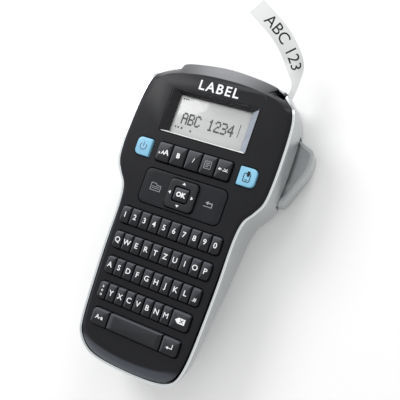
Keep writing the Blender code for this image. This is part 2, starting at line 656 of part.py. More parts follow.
def add_label():
    """A ribbon that leaves the slot on edge and turns its printed face forwards as it rises."""
    across_steps, along_steps = 2, 26
    path = smooth_path(label_route(), along_steps + 1)
    bm = bmesh.new()
    grid = []
    for n, point in enumerate(path):
        ahead = path[min(n + 1, along_steps)] - path[max(n - 1, 0)]
        ahead.normalize()
        flat = Vector((0, 0, 1)).cross(ahead).normalized()
        upright = ahead.cross(flat)
        turn = ease((n / along_steps - 0.26) / 0.30) * math.radians(84)
        across = upright * math.cos(turn) + flat * math.sin(turn)
        row = [point + across * LABEL_WIDTH * (c / across_steps - 0.5) for c in range(across_steps + 1)]
        grid.append([bm.verts.new(mm(*corner)) for corner in row])
    for low, high in zip(grid, grid[1:]):
        for i in range(across_steps):
            bm.faces.new((low[i], low[i + 1], high[i + 1], high[i]))
    label = add_object("label_strip", mesh_from("label_strip", bm), "label tape")
    solid = label.modifiers.new("film", "SOLIDIFY")
    solid.thickness = mm(LABEL_THICK)
    solid.offset = 0.0
    way = (SLOT_POINT - HEAD_POINT).normalized()
    side = Vector((way.y, -way.x)) * 1.5
    start, end = HEAD_POINT + way * 12, SLOT_POINT + way * 9
    channel = [tuple(start - side), tuple(start + side), tuple(end + side), tuple(end - side)]
    slot = flat_shape("label_slot", [channel], LABEL_LOW_Z - 1.0, 36.5)
    boolean(REAR, "DIFFERENCE", slot)
    return way


def add_cutter(way):
    """Blade beside the label, and the lever that pushes it."""
    side = Vector((way.y, -way.x))
    edge = HEAD_POINT + way * 12.3 + side * 2.4
    half = way * 1.3
    outline = [tuple(edge), tuple(edge + side * 1.2 + half), tuple(edge + side * 4.6 + half),
               tuple(edge + side * 4.6 - half), tuple(edge + side * 1.2 - half)]
    blade = flat_shape("cutter_blade", [outline], LABEL_LOW_Z - 0.8, LABEL_LOW_Z + LABEL_WIDTH + 0.8, "steel")
    px, py = LEVER_PIVOT
    points = [(49.2, 27.6), (53.6, 28.0), (57.2, 30.2), (61.8, 42.0), (64.8, 50.0), (66.4, 57.0),
              (66.4, 62.8), (64.8, 67.2), (60.0, 69.4), (53.8, 72.0), (50.0, 72.4), (49.6, 60.0),
              (49.4, 42.0), (45.5, 34.6), (42.6, 31.8), (44.2, 27.9)]
    outline = [(x - px, y - py) for x, y in smooth_loop(points, 2)]
    low, high = LEVER_Z
    lever = flat_shape("cutter_lever", [outline], low, high, "silver plastic", (px, py, 0))
    face = [(50, 34), (55.6, 34.4), (59.9, 44), (62.7, 51), (64.2, 57.4), (64.1, 62.2), (63.1, 65.4),
            (58.5, 67.3), (50, 70)]
    bay = flat_shape("lever_face", [smooth_loop(face, 2)], high - LEVER_RIM, high + 5)
    bore = rod("lever_bore", px, py, low - 5, high + 5, 1.9, sides=12)
    boolean(lever, "DIFFERENCE", bay, bore)
    pin = [(0, PLATE_Z - GAP), (1.5, PLATE_Z - GAP), (1.5, 4.2), (0, 4.2)]
    turned("lever_pin", pin, (px, py, 0), "steel", 12)
    window = [(44.0, 26.5), (70, 26.5), (70, 74), (44.0, 74)]
    boolean(REAR, "DIFFERENCE", flat_shape("lever_window", [window], low - 0.8, high + 0.8))
    add_return_spring(px, py, high)


def add_return_spring(x, y, low):
    """A torsion spring around the pin, above the lever."""
    turns, per_turn, radius, wire = 2, 10, 2.4, 0.25
    curve = bpy.data.curves.new("lever_spring", "CURVE")
    curve.dimensions = "3D"
    curve.bevel_depth = mm(wire)
    curve.bevel_resolution = 0
    curve.use_fill_caps = True
    count = turns * per_turn + 1
    coil = [(radius * math.cos(2 * math.pi * n / per_turn), radius * math.sin(2 * math.pi * n / per_turn),
             0.9 * n / per_turn) for n in range(count)]
    spline = curve.splines.new("POLY")
    spline.points.add(count)
    for point, place in zip(spline.points, [*coil, (radius, 5.0, coil[-1][2])]):
        point.co = (*mm(*place), 1)
    add_object("lever_spring", curve, "steel", (x, y, low + 0.5))


def add_batteries():
    spacing = 2 * BATTERY_RADIUS + 0.35
    r = BATTERY_RADIUS
    middle = sum(BATTERY_Y) / 2
    half = BATTERY_LENGTH / 2
    profile = [(0, half), (1.9, half), (1.9, half - 1.0), (r - 0.5, half - 1.0), (r, half - 1.6),
               (r, -half + 0.4), (r - 0.5, -half), (0, -half)]
    for n in range(BATTERY_COUNT):
        x = (n - (BATTERY_COUNT - 1) / 2) * spacing
        cell = turned(f"battery_{n + 1}", profile, (x, middle, BATTERY_Z), "battery jacket", 12)
        cell.rotation_euler.x = math.radians(-90 if n % 2 else 90)
    width = spacing * BATTERY_COUNT / 2 - 3.6
    low, high = BATTERY_Z - 1.5, BATTERY_Z + 4.5
    ends = (("battery_contacts_lower", middle - half - 0.9), ("battery_contacts_upper", middle + half + 0.9))
    for name, y in ends:
        box(name, (-width, y - 0.4, low), (width, y + 0.4, high), "steel")


def add_doors():
    """Two covers cut from the back, each with a gap all round."""
    openings = (("battery_door", (-27.5, -76.0), (27.5, -19.0)), ("cassette_door", (-43.0, 32.5), (19.5, 88.0)))
    for name, (x0, y0), (x1, y1) in openings:
        hole = [rounded((x0 + x1) / 2, (y0 + y1) / 2, x1 - x0, y1 - y0, 3.0, z) for z in (-5, 18)]
        boolean(REAR, "DIFFERENCE", stack(f"{name}_hole", hole))


def add_door_panels():
    span = (("battery_door", -27.2, 27.2, -75.7, -19.3, 12), ("cassette_door", -42.7, 19.2, 32.8, 87.7, 1))
    for name, x0, x1, y0, y1, steps in span:
        ys = [y0 - 2.0 + (y1 - y0 + 4.0) * n / steps for n in range(steps + 1)]
        lower = [(y, back_z(y)) for y in ys]
        upper = [(y, back_z(y) + WALL) for y in reversed(ys)]
        outline = [(y - y0, z - back_z(y0)) for y, z in lower + upper]
        half = (x1 - x0) / 2 + 2.0  # trimmed by its corners below
        hinge = ((x0 + x1) / 2, y0, back_z(y0))
        panel = flat_shape(name, [outline], -half, half, "silver plastic", hinge, upright=True)
        panel.data.transform(Matrix.Rotation(math.radians(90), 4, "Z"))
        corners = [rounded((x0 + x1) / 2, (y0 + y1) / 2, x1 - x0, y1 - y0, 3.0 - GAP, z) for z in (-5, 20)]
        boolean(panel, "INTERSECT", stack(f"{name}_corners", corners))


clear_scene()
PARTS = add_collection("Label maker")
CUTTERS = add_collection("Cutters")
CUTTERS.hide_render = True
MATERIALS = {name: add_material(name, colour, roughness, metallic) for name, colour, roughness, metallic in (
    ("charcoal plastic", (0.022, 0.022, 0.026), 0.35, 0.0),
    ("silver plastic", (0.60, 0.61, 0.62), 0.35, 0.6),
    ("grey plastic", (0.20, 0.20, 0.21), 0.5, 0.0),
    ("white plastic", (0.75, 0.75, 0.73), 0.5, 0.0),
    ("bezel plastic", (0.10, 0.10, 0.11), 0.2, 0.0),
    ("clear plastic", (0.85, 0.87, 0.88), 0.05, 0.0),
    ("lcd glass", (0.55, 0.57, 0.55), 0.3, 0.0),
    ("dark key", (0.05, 0.05, 0.055), 0.45, 0.0),
    ("blue key", (0.22, 0.55, 0.80), 0.4, 0.0),
    ("circuit board", (0.03, 0.16, 0.07), 0.5, 0.0),
    ("grey rubber", (0.25, 0.25, 0.25), 0.8, 0.0),
    ("black rubber", (0.02, 0.02, 0.02), 0.8, 0.0),
    ("gear plastic", (0.85, 0.84, 0.80), 0.45, 0.0),
    ("brass", (0.70, 0.52, 0.22), 0.3, 1.0),
    ("steel", (0.62, 0.62, 0.62), 0.3, 1.0),
    ("battery jacket", (0.12, 0.12, 0.14), 0.4, 0.3),
    ("label tape", (0.85, 0.86, 0.86), 0.4, 0.0),
)}

FRONT = add_front_shell()
REAR = add_rear_shell()
add_display()
add_letter_rows()
add_bottom_row()
add_function_keys()
add_navigation()
add_boards()
add_cassette(add_mechanism())
add_cutter(add_label())
add_batteries()
add_doors()
add_door_panels()
add_screws()
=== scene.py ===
import math

import bpy
from mathutils import Matrix, Vector


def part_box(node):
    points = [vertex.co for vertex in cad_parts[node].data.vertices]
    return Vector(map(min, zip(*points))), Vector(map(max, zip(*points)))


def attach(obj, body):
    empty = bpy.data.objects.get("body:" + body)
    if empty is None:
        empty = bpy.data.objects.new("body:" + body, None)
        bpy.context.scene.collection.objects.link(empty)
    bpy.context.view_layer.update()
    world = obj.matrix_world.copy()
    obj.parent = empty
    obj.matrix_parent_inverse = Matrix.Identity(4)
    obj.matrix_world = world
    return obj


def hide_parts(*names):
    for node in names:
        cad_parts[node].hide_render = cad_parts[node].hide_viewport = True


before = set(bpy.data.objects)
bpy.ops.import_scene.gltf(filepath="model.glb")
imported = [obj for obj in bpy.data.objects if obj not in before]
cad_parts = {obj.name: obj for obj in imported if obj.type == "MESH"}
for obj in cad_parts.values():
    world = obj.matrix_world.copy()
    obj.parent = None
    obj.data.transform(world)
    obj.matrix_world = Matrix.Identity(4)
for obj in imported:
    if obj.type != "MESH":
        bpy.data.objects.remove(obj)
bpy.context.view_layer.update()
bpy.ops.object.select_all(action="DESELECT")
mm = 0.001
print("frame loaded")


class Wire:
    def __init__(self, look, socket):
        self.look, self.socket = look, socket

    def math(self, operation, first, second):
        return self.look.add("ShaderNodeMath", {"operation": operation}, {0: first, 1: second})

    def __add__(self, other):
        return self.math("ADD", self, other)

    def __sub__(self, other):
        return self.math("SUBTRACT", self, other)

    def __mul__(self, other):
        return self.math("MULTIPLY", self, other)

    def __truediv__(self, other):
        return self.math("DIVIDE", self, other)

    def __rsub__(self, other):
        return self.math("SUBTRACT", other, self)

    __radd__, __rmul__ = __add__, __mul__

    def fraction(self):
        return self.look.add("ShaderNodeMath", {"operation": "FRACT"}, {0: self})


class Look:
    # one material: a Principled shader with its pattern nodes
    def __init__(self, name, colour, roughness, **fixed):
        self.material = bpy.data.materials.new(name)
        self.material.use_nodes = True
        self.material.diffuse_color = (*colour, 1)
        self.tree = self.material.node_tree
        self.shader = self.tree.nodes["Principled BSDF"]
        self.set(base=(*colour, 1), roughness=roughness, **fixed)
        self.place = self.add("ShaderNodeTexCoord", {}, {}, "Object")

    def set(self, **values):
        names = {"base": "Base Color", "roughness": "Roughness", "metallic": "Metallic", "coat": "Coat Weight",
                 "coatRoughness": "Coat Roughness", "alpha": "Alpha", "normal": "Normal",
                 "specular": "Specular IOR Level"}
        for name, value in values.items():
            self.feed(self.shader.inputs[names[name]], value)

    def feed(self, socket, value):
        if isinstance(value, Wire):
            self.tree.links.new(value.socket, socket)
        else:
            socket.default_value = value

    def add(self, kind, settings, sockets, out=0):
        node = self.tree.nodes.new(kind)
        for name, value in settings.items():
            setattr(node, name, value)
        for name, value in sockets.items():
            self.feed(node.inputs[name], value)
        return Wire(self, node.outputs[out])

    def noise(self, scale, detail=2.0, stretch=(1, 1, 1)):
        where = self.add("ShaderNodeMapping", {}, {"Vector": self.place, "Scale": stretch})
        return self.add("ShaderNodeTexNoise", {}, {"Vector": where, "Scale": scale, "Detail": detail})

    def cells(self, scale, out=0, **settings):
        return self.add("ShaderNodeTexVoronoi", settings, {"Vector": self.place, "Scale": scale}, out)

    def axis(self, index):
        return self.add("ShaderNodeSeparateXYZ", {}, {0: self.place}, index)

    def facing(self, index):
        # how far the surface faces along x, y or z
        normal = self.add("ShaderNodeTexCoord", {}, {}, "Normal")
        return self.add("ShaderNodeSeparateXYZ", {}, {0: normal}, index)

    def limit(self, value, low, high):
        # 0 below low, 1 above high
        return self.add("ShaderNodeMapRange", {"interpolation_type": "SMOOTHSTEP"},
                        {0: value, 1: low, 2: high, 3: 0.0, 4: 1.0})

    def between(self, value, start, full, ending, end):
        return self.limit(value, start, full) * (1 - self.limit(value, ending, end))

    def blend(self, mask, first, second):
        return self.add("ShaderNodeMix", {"data_type": "RGBA"}, {0: mask, 6: first, 7: second}, 2)

    def vary(self, mask, colour, darker, lighter):
        return self.blend(mask, tone(colour, darker), tone(colour, lighter))

    def bump(self, height, depth, strength):
        self.set(normal=self.add("ShaderNodeBump", {}, {"Height": height, "Distance": depth, "Strength": strength}))


def tone(colour, factor):
    return (*(min(1, c * factor) for c in colour), 1)


def grainedLook(name, colour, roughness, grain=4200, depth=0.00003, spread=0.12, **fixed):
    # moulded plastic: fine grain, slow colour drift, and rubbed patches that shine a little more
    look = Look(name, colour, roughness, **fixed)
    drift = look.noise(45, 3)
    fine = look.noise(grain)
    look.set(base=look.vary(drift, colour, 1 - spread, 1 + spread),
             roughness=roughness - 0.06 + drift * 0.08 + fine * 0.05)
    look.bump(fine, depth, 0.5)
    return look


def charcoalLook():
    # the visor, apron and slope tones are painted reflection and sheen, lighter than the near-black plate
    colour = {"plate": (0.0085, 0.0088, 0.0108), "visor": (0.225, 0.228, 0.24), "apronSheen": (0.060, 0.066, 0.080),
              "slope": (0.018, 0.020, 0.027)}
    look = Look("charcoalCase", colour["plate"], 0.34, specular=0.2)
    drift, fine = look.noise(30, 3), look.noise(3800)
    tilt = look.facing(1)
    # painted reflection: where the surface faces the head end, the visor band turns grey, brighter in the middle and
    # streaked
    visor = look.limit(tilt, 0.20, 0.34) * look.limit(look.axis(1), 0.080, 0.0885)
    visor = visor * look.limit(look.facing(2), 0.30, 0.55) * (1 - look.limit(look.axis(0), 0.031, 0.038))
    # painted sheen: the slope at the bottom end, facing away from the head, is lightened bluish
    apronSheen = look.limit(tilt * -1.0, 0.10, 0.42) * (1 - look.limit(look.axis(1), -0.092, -0.086))
    # painted sheen: slopes that face the left, towards the light, are lightened bluish
    side = look.limit(look.facing(0) * -1.0, 0.06, 0.5)
    plate = look.vary(drift, colour["plate"], 0.85, 1.25)
    plate = look.blend(side * 0.8, plate, (*colour["slope"], 1))
    plate = look.blend(apronSheen, plate, (*colour["apronSheen"], 1))
    streak = look.noise(25, 2, (1, 14, 1))
    centre = look.between(look.axis(0), -0.036, -0.004, 0.004, 0.036)
    band = look.vary(streak, colour["visor"], 0.85, 1.15)
    band = look.blend(0.25 + centre * 0.75, plate, band)
    look.set(base=look.blend(visor, plate, band), roughness=0.30 + drift * 0.07 + fine * 0.06)
    look.bump(fine, 0.00003, 0.4)
    return look


def silverLook():
    colour = (0.43, 0.45, 0.458)
    look = Look("silverPaint", colour, 0.28, metallic=0.8, coat=0.3, coatRoughness=0.1)
    flakeTone = look.add("ShaderNodeSeparateColor", {}, {0: look.cells(3400.0, 1)})
    drift = look.noise(24, 3)
    # painted highlight: faces of the lip that turn upwards, above 30 mm, are painted nearly twice as light
    lipHighlight = look.limit(look.facing(2), 0.72, 0.93) * look.limit(look.axis(2), 0.030, 0.034)
    paint = look.vary(flakeTone, colour, 0.95, 1.05)
    look.set(base=look.blend(lipHighlight, paint, tone(colour, 1.95)),
             roughness=0.27 + drift * 0.07 + flakeTone * 0.05)
    look.bump(flakeTone, 0.00002, 0.35)
    return look


def keyLook(name, colour, roughness=0.36, paintedHighlight=0.0, **fixed):
    # satin caps; a painted highlight lightens the side of each dome that faces the head and the left, towards the light
    look = Look(name, colour, roughness, **fixed)
    worn, fine = look.noise(210), look.noise(5200)
    upperLeftHighlight = look.limit(look.facing(1) - look.facing(0) * 0.6, -0.05, 0.16)
    plain = look.vary(worn, colour, 0.88, 1.15)
    look.set(base=look.blend(upperLeftHighlight * paintedHighlight, plain, tone(colour, 7.5)),
             roughness=roughness - 0.05 + worn * 0.08 + fine * 0.05)
    look.bump(fine, 0.00002, 0.4)
    return look


def lcdLook():
    colour = (0.50, 0.505, 0.50)
    look = Look("lcdPanel", colour, 0.30, coat=0.6, coatRoughness=0.08)
    streak = look.noise(420, 2, (0.09, 1, 1))
    lines = [look.limit((look.axis(n) / step).fraction(), 0.80, 0.92) * 0.5
             for n, step in ((0, 0.00077), (1, 0.00108))]
    grid = lines[0] + lines[1]
    shade = look.vary(streak, colour, 0.90, 1.12)
    look.set(base=look.blend(grid * 0.22, shade, tone(colour, 0.72)), roughness=0.26 + streak * 0.1)
    return look


def frameLook():
    # glossy black display frame; painted reflection makes its right wall grey and its lower wall nearly white, the
    # walls that face the light on the upper left
    look = Look("displayFrame", (0.008, 0.008, 0.010), 0.26, specular=0.3)
    drift, fine = look.noise(160), look.noise(2600)
    grey = look.blend(drift, (0.27, 0.30, 0.36, 1), (0.36, 0.39, 0.45, 1))
    dark = look.blend(drift, (0.006, 0.006, 0.008, 1), (0.012, 0.012, 0.014, 1))
    # painted reflection: the right wall, facing left, turns grey; the lower wall, facing the head, turns nearly white
    side = look.blend(look.limit(look.facing(0) * -1.0, 0.35, 0.5), dark, grey)
    look.set(base=look.blend(look.limit(look.facing(1), 0.45, 0.6), side, (0.86, 0.87, 0.88, 1)),
             roughness=0.22 + drift * 0.06 + fine * 0.05)
    look.bump(fine, 0.00001, 0.3)
    return look


def boardLook():
    colour = (0.02, 0.13, 0.055)
    look = Look("circuitBoard", colour, 0.32, coat=0.4, coatRoughness=0.2)
    trace = look.limit(look.cells(260.0, feature="DISTANCE_TO_EDGE", distance="MANHATTAN"), 0.03, 0.07)
    pad = 1 - look.limit(look.cells(330.0), 0.16, 0.20)
    copper = look.blend(trace, (0.05, 0.24, 0.11, 1), (*colour, 1))
    look.set(base=look.blend(pad, copper, (0.72, 0.62, 0.32, 1)), metallic=pad * 0.9, roughness=0.38 - pad * 0.1)
    look.bump(trace, 0.00004, 0.5)
    return look


def jacketLook():
    # cell jackets: dark body, a copper-toned band towards the positive end and small print lines
    look = Look("batteryJacket", (0.03, 0.03, 0.035), 0.3, metallic=0.35, coat=0.5, coatRoughness=0.1)
    along = look.add("ShaderNodeAttribute", {"attribute_name": "along"}, {}, 2)
    band = look.between(along, 0.70, 0.705, 0.955, 0.96)
    lines = look.limit((along * 26).fraction(), 0.82, 0.86) * look.between(along, 0.18, 0.2, 0.40, 0.42)
    steel = look.limit(along, 0.962, 0.966) + (1 - look.limit(along, 0.012, 0.016))
    wear = look.noise(160, 3)
    body = look.blend(lines, (0.03, 0.03, 0.035, 1), (0.35, 0.35, 0.36, 1))
    shade = look.blend(band, body, (0.62, 0.30, 0.10, 1))
    look.set(base=look.blend(steel, shade, (0.68, 0.68, 0.68, 1)), metallic=0.3 + steel * 0.65 + band * 0.3,
             roughness=0.24 + wear * 0.14)
    return look


def steelLook(name, colour, roughness, stretch):
    look = Look(name, colour, roughness, metallic=1.0)
    brushed, spots = look.noise(900, 3, stretch), look.noise(140, 3)
    look.set(base=look.vary(spots, colour, 0.86, 1.1),
             roughness=roughness - 0.08 + brushed * 0.2 + spots * 0.05)
    look.bump(brushed, 0.00003, 0.3)
    return look


def tapeLook(name, colour):
    look = Look(name, colour, 0.3, coat=0.35, coatRoughness=0.12)
    fibre, drift = look.noise(1500, 2, (1, 0.2, 1)), look.noise(60)
    look.set(base=look.vary(drift, colour, 0.96, 1.03), roughness=0.28 + fibre * 0.12)
    look.bump(fibre, 0.00002, 0.3)
    return look


def windowLook():
    look = Look("clearWindow", (0.9, 0.92, 0.93), 0.04, alpha=0.05, specular=0.15)
    smear = look.noise(90, 3)
    look.set(roughness=0.03 + smear * 0.06)
    return look


looks = {
    "case": charcoalLook(),
    "silver": silverLook(),
    "frame": frameLook(),
    "window": windowLook(),
    "lcd": lcdLook(),
    "darkKey": keyLook("darkKey", (0.0095, 0.010, 0.0118), 0.38, 1.0, specular=0.28),
    "ringKey": keyLook("navigationRing", (0.011, 0.012, 0.014), 0.36, specular=0.35),
    "panel": keyLook("navigationPanel", (0.0115, 0.013, 0.016), 0.40, specular=0.2),
    "blueKey": keyLook("blueKey", (0.22, 0.51, 0.70), 0.34, coat=0.2, coatRoughness=0.15),
    "whiteInk": grainedLook("whiteInk", (0.86, 0.87, 0.88), 0.5, 2600, 0.00001, 0.04),
    "greyInk": grainedLook("greyInk", (0.30, 0.31, 0.33), 0.5, 2600, 0.00001, 0.06),
    "darkInk": grainedLook("darkInk", (0.008, 0.009, 0.012), 0.45, 2600, 0.00001, 0.1, specular=0.3),
    "powerInk": grainedLook("powerInk", (0.12, 0.12, 0.22), 0.45, 2600, 0.00001, 0.06),
    "greyPlastic": grainedLook("greyPlastic", (0.17, 0.17, 0.18), 0.5),
    "board": boardLook(),
    "matRubber": grainedLook("matRubber", (0.20, 0.20, 0.205), 0.75, 2600, 0.00006),
    "rollerRubber": grainedLook("rollerRubber", (0.018, 0.018, 0.018), 0.7, 3000, 0.00006),
    "gearPlastic": grainedLook("gearPlastic", (0.78, 0.77, 0.72), 0.42, 3600, 0.00002, 0.05),
    "brass": steelLook("brass", (0.72, 0.52, 0.22), 0.3, (1, 1, 8)),
    "steel": steelLook("platedSteel", (0.60, 0.60, 0.61), 0.32, (1, 9, 1)),
    "jacket": jacketLook(),
    "cassette": grainedLook("cassettePlastic", (0.70, 0.70, 0.68), 0.5, 3000, 0.00003, 0.05),
    "tape": tapeLook("labelTape", (0.77, 0.785, 0.785)),
}
print("looks ready")


def alone(piece):
    bpy.ops.object.select_all(action="DESELECT")
    piece.select_set(True)
    bpy.context.view_layer.objects.active = piece


def editAll(piece):
    alone(piece)
    bpy.ops.object.mode_set(mode="EDIT")
    bpy.ops.mesh.select_all(action="SELECT")


def done():
    bpy.ops.object.mode_set(mode="OBJECT")


def nameNew(name):
    piece = bpy.context.object
    piece.name = piece.data.name = name
    return piece


def addObject(name, data):
    piece = bpy.data.objects.new(name, data)
    bpy.context.scene.collection.objects.link(piece)
    return piece


def startBlock(name, low, high):
    bpy.ops.mesh.primitive_cube_add(size=1)
    piece = nameNew(name)
    editAll(piece)
    bpy.ops.transform.resize(value=[(h - l) * mm for l, h in zip(low, high)])
    bpy.ops.transform.translate(value=[(h + l) / 2 * mm for l, h in zip(low, high)])
    done()
    return piece


def startRod(name, x, y, low, high, radius):
    bpy.ops.mesh.primitive_cylinder_add(vertices=32, radius=radius * mm, depth=(high - low) * mm)
    piece = nameNew(name)
    editAll(piece)
    bpy.ops.transform.translate(value=(x * mm, y * mm, (low + high) / 2 * mm))
    done()
    return piece


def pick(piece, kind, test):
    # selects what passes the test on its corner places in millimetres, and leaves edit mode on
    editAll(piece)
    bpy.ops.mesh.select_mode(type=kind)
    bpy.ops.mesh.select_all(action="DESELECT")
    done()
    mesh = piece.data
    for part in mesh.edges if kind == "EDGE" else mesh.polygons:
        part.select = test([mesh.vertices[i].co / mm for i in part.vertices])
    bpy.ops.object.mode_set(mode="EDIT")


def joinPieces(pieces, name="tools"):
    alone(pieces[0])
    for piece in pieces:
        piece.select_set(True)
    bpy.ops.object.join()
    return nameNew(name)


def modify(piece, kind, **settings):
    alone(piece)
    modifier = piece.modifiers.new(kind.lower(), kind)
    for name, value in settings.items():
        setattr(modifier, name, value)
    bpy.ops.object.modifier_apply(modifier=modifier.name)


def carve(piece, tool, operation="DIFFERENCE"):
    modify(piece, "BOOLEAN", operation=operation, solver="EXACT", object=tool)
    bpy.data.objects.remove(tool, do_unlink=True)


def soften(piece, width, segments=2, angle=40):
    modify(piece, "BEVEL", width=width * mm, segments=segments, limit_method="ANGLE",
           angle_limit=math.radians(angle))


def finishPiece(piece, look, body, nodes=(), angle=35):
    alone(piece)
    bpy.ops.object.shade_smooth_by_angle(angle=math.radians(angle))
    piece.data.materials.clear()
    piece.data.materials.append(looks[look].material)
    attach(piece, body)
    if nodes:
        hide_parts(*nodes)
    bpy.ops.object.select_all(action="DESELECT")


def meshPiece(name, points, faces):
    mesh = bpy.data.meshes.new(name)
    mesh.from_pydata([Vector(p) * mm for p in points], [], faces)
    piece = addObject(name, mesh)
    editAll(piece)
    bpy.ops.mesh.normals_make_consistent(inside=False)
    done()
    return piece


def ringPiece(name, rings, strips=False):
    # a closed skin over rings of points, with ends closed flat or in strips from side to side
    count = len(rings[0])
    points = [point for ring in rings for point in ring]
    faces = []
    for level in range(len(rings) - 1):
        low, high = level * count, (level + 1) * count
        faces += [(low + i, low + (i + 1) % count, high + (i + 1) % count, high + i) for i in range(count)]
    for base in (0, (len(rings) - 1) * count):
        if strips:
            for i in range(count // 2):
                corners = dict.fromkeys((base + i, base + i + 1, base + (-i - 1) % count, base + -i % count))
                faces.append(tuple(corners))
        else:
            faces.append(tuple(range(base, base + count)))
    return meshPiece(name, points, faces)


def stack(name, outlines, levels):
    # outlines laid at their levels, with a skin round them
    return ringPiece(name, [[(x, y, z) for x, y in outline] for outline, z in zip(outlines, levels)])


def flatPiece(name, outlines, low, high):
    # a plate cut from closed outlines, later ones being holes
    curve = bpy.data.curves.new(name, "CURVE")
    curve.dimensions, curve.fill_mode = "2D", "BOTH"
    curve.extrude = (high - low) / 2 * mm
    for outline in outlines:
        spline = curve.splines.new("POLY")
        spline.points.add(len(outline) - 1)
        for point, (x, y) in zip(spline.points, outline):
            point.co = (x * mm, y * mm, 0, 1)
        spline.use_cyclic_u = True
    piece = addObject(name, curve)
    alone(piece)
    bpy.ops.object.convert(target="MESH")
    piece.data.transform(Matrix.Translation((0, 0, (low + high) / 2 * mm)))
    editAll(piece)
    bpy.ops.mesh.remove_doubles(threshold=1e-6)
    bpy.ops.mesh.normals_make_consistent(inside=False)
    done()
    return piece


def textPiece(name, words, size, bold=0.0, slant=0.0, space=1.0):
    bpy.ops.object.text_add()
    text = bpy.context.object.data
    text.body, text.size, text.shear, text.space_character = words, size * mm, slant, space
    text.align_x, text.align_y = "CENTER", "CENTER"
    text.offset, text.extrude, text.resolution_u = bold * size * mm, 0.015 * mm, 3
    bpy.ops.object.convert(target="MESH")
    return nameNew(name)


def roundedPoints(x, y, width, height, radii, segments=6):
    # radii run: right top, left top, left bottom, right bottom
    points = []
    for quarter, (sx, sy) in enumerate(((1, 1), (-1, 1), (-1, -1), (1, -1))):
        r = radii[quarter]
        for step in range(segments + 1):
            angle = math.radians(90 * (quarter + step / segments))
            points.append((x + sx * (width / 2 - r) + r * math.cos(angle),
                           y + sy * (height / 2 - r) + r * math.sin(angle)))
    return points


def catmull(before, start, end, after, t):
    return tuple(0.5 * (2 * b + (c - a) * t + (2 * a - 5 * b + 4 * c - d) * t * t
                        + (3 * b - a - 3 * c + d) * t * t * t)
                 for a, b, c, d in zip(before, start, end, after))


def smoothLoop(points, steps=6):
    count = len(points)
    return [catmull(points[i - 1], points[i], points[(i + 1) % count], points[(i + 2) % count], s / steps)
            for i in range(count) for s in range(steps)]


def clamp(value):
    return min(1.0, max(0.0, value))


def ease(value):
    return clamp(value) ** 2 * (3 - 2 * clamp(value))


# outlines run from the bottom centre up one side and over the top

caseShape = {
    "frontZ": 44.0, "wall": 2.2, "skirt": 2.5, "lip": 2.0, "swell": 0.7, "gap": 0.3, "bottomY": -102.0,
    "handleRiseY": -30.0, "handleRise": 21.0, "chord": 12, "wordY": 85.0,
    "side": [(18, -98.9), (28.5, -95.3), (34, -87.5), (36.4, -76), (37.6, -55), (38.4, -30), (39.2, -4),
             (41, 9.5), (45.8, 17), (49.8, 24.5), (51.2, 36)],
    "sideCrease": [(17, -90.3), (26.5, -87.6), (31.6, -82), (34.2, -73), (35.6, -54), (36.4, -30),
                   (37.1, -5), (38.8, 10.6), (44, 18.4), (47.8, 25.5), (49.1, 36)],
    "top": [(51.6, 52), (51.3, 68), (50.2, 78), (47.6, 84.3), (43.5, 88.4), (39, 90.8), (35.2, 92.4),
            (33.2, 94.4), (33.9, 97.3), (20, 100.2), (0, 102), (-18, 101), (-30.7, 98.9), (-33.6, 95.2),
            (-38, 92.8), (-42.3, 89.6), (-45.8, 84.8), (-48.2, 77), (-49.8, 66), (-50.8, 51)],
    "topCrease": [(49.4, 52), (49, 67.5), (47.6, 77), (45, 81.8), (41.3, 85.3), (37.5, 87.2), (33.5, 88.5),
                  (30.5, 89.3), (27.5, 89.9), (15, 91.6), (0, 92.1), (-14, 91.6), (-26, 89.9), (-31, 88.8),
                  (-35.3, 87.5), (-39.6, 85.2), (-43, 81.5), (-45.8, 75.5), (-47.6, 65.5), (-48.6, 51)],
    "topRear": [(53.6, 52), (53.3, 68.3), (52.1, 78.8), (49.2, 85.8), (45, 90.2), (42.4, 92.6), (40.6, 94.6),
                (38, 96.9), (33.8, 98.2), (20, 98.6), (0, 100.3), (-18, 99.6), (-31.5, 99.9), (-35.3, 96.9),
                (-39.5, 94.6), (-44, 91), (-47.7, 85.8), (-50.2, 77.4), (-51.8, 66.3), (-52.8, 51)],
    "bossTop": 27.4, "bossFoot": 24.6, "screwHole": 1.6, "screwPocket": 2.9,
    "bosses": [(-34.6, 3.0), (34.6, 3.0), (-18.0, -86.0), (18.0, -86.0), (-40.5, 82.0), (45.4, 80.6)],
    "posts": [(-43.0, 31.0), (17.5, 30.5)],
    "doorHoles": [(0, -47.5, 55, 57), (-11.75, 60.25, 62.5, 55.5)], "leverWindow": ((44.0, 26.5, 4.2), (70, 74, 22.8)),
    "labelWay": ((30.5, 79.0), (38.6, 94.9)),
}


def caseOutline(bottomY, side, top, out=0.0, swell=0.0):
    right = [(x + out + swell * ease((-8 - y) / 20), y - out * clamp((-y - 60) / 40)) for x, y in side]
    return smoothLoop([(0.0, bottomY), *right, *top, *((-x, y) for x, y in reversed(right))])


def edgeZ(y):
    return 43.0 - 8.0 * ease((y - 82) / 14) - 5.0 * ease((-y - 84) / 16)


def lipLift(y):
    return 0.05 + 2.2 * (1 - ease((y - 85) / 5))


def backZ(y):
    shape = caseShape
    rise = max(0.0, (shape["handleRiseY"] - y) / (shape["handleRiseY"] - shape["bottomY"]))
    return shape["handleRise"] * rise ** 1.6


def outward(outline, i):
    chord = caseShape["chord"]
    ahead, behind = outline[(i + chord) % len(outline)], outline[i - chord]
    return Vector((ahead[1] - behind[1], behind[0] - ahead[0])).normalized()


def movedIn(outline, distance):
    return [(x - outward(outline, i).x * distance, y - outward(outline, i).y * distance)
            for i, (x, y) in enumerate(outline)]


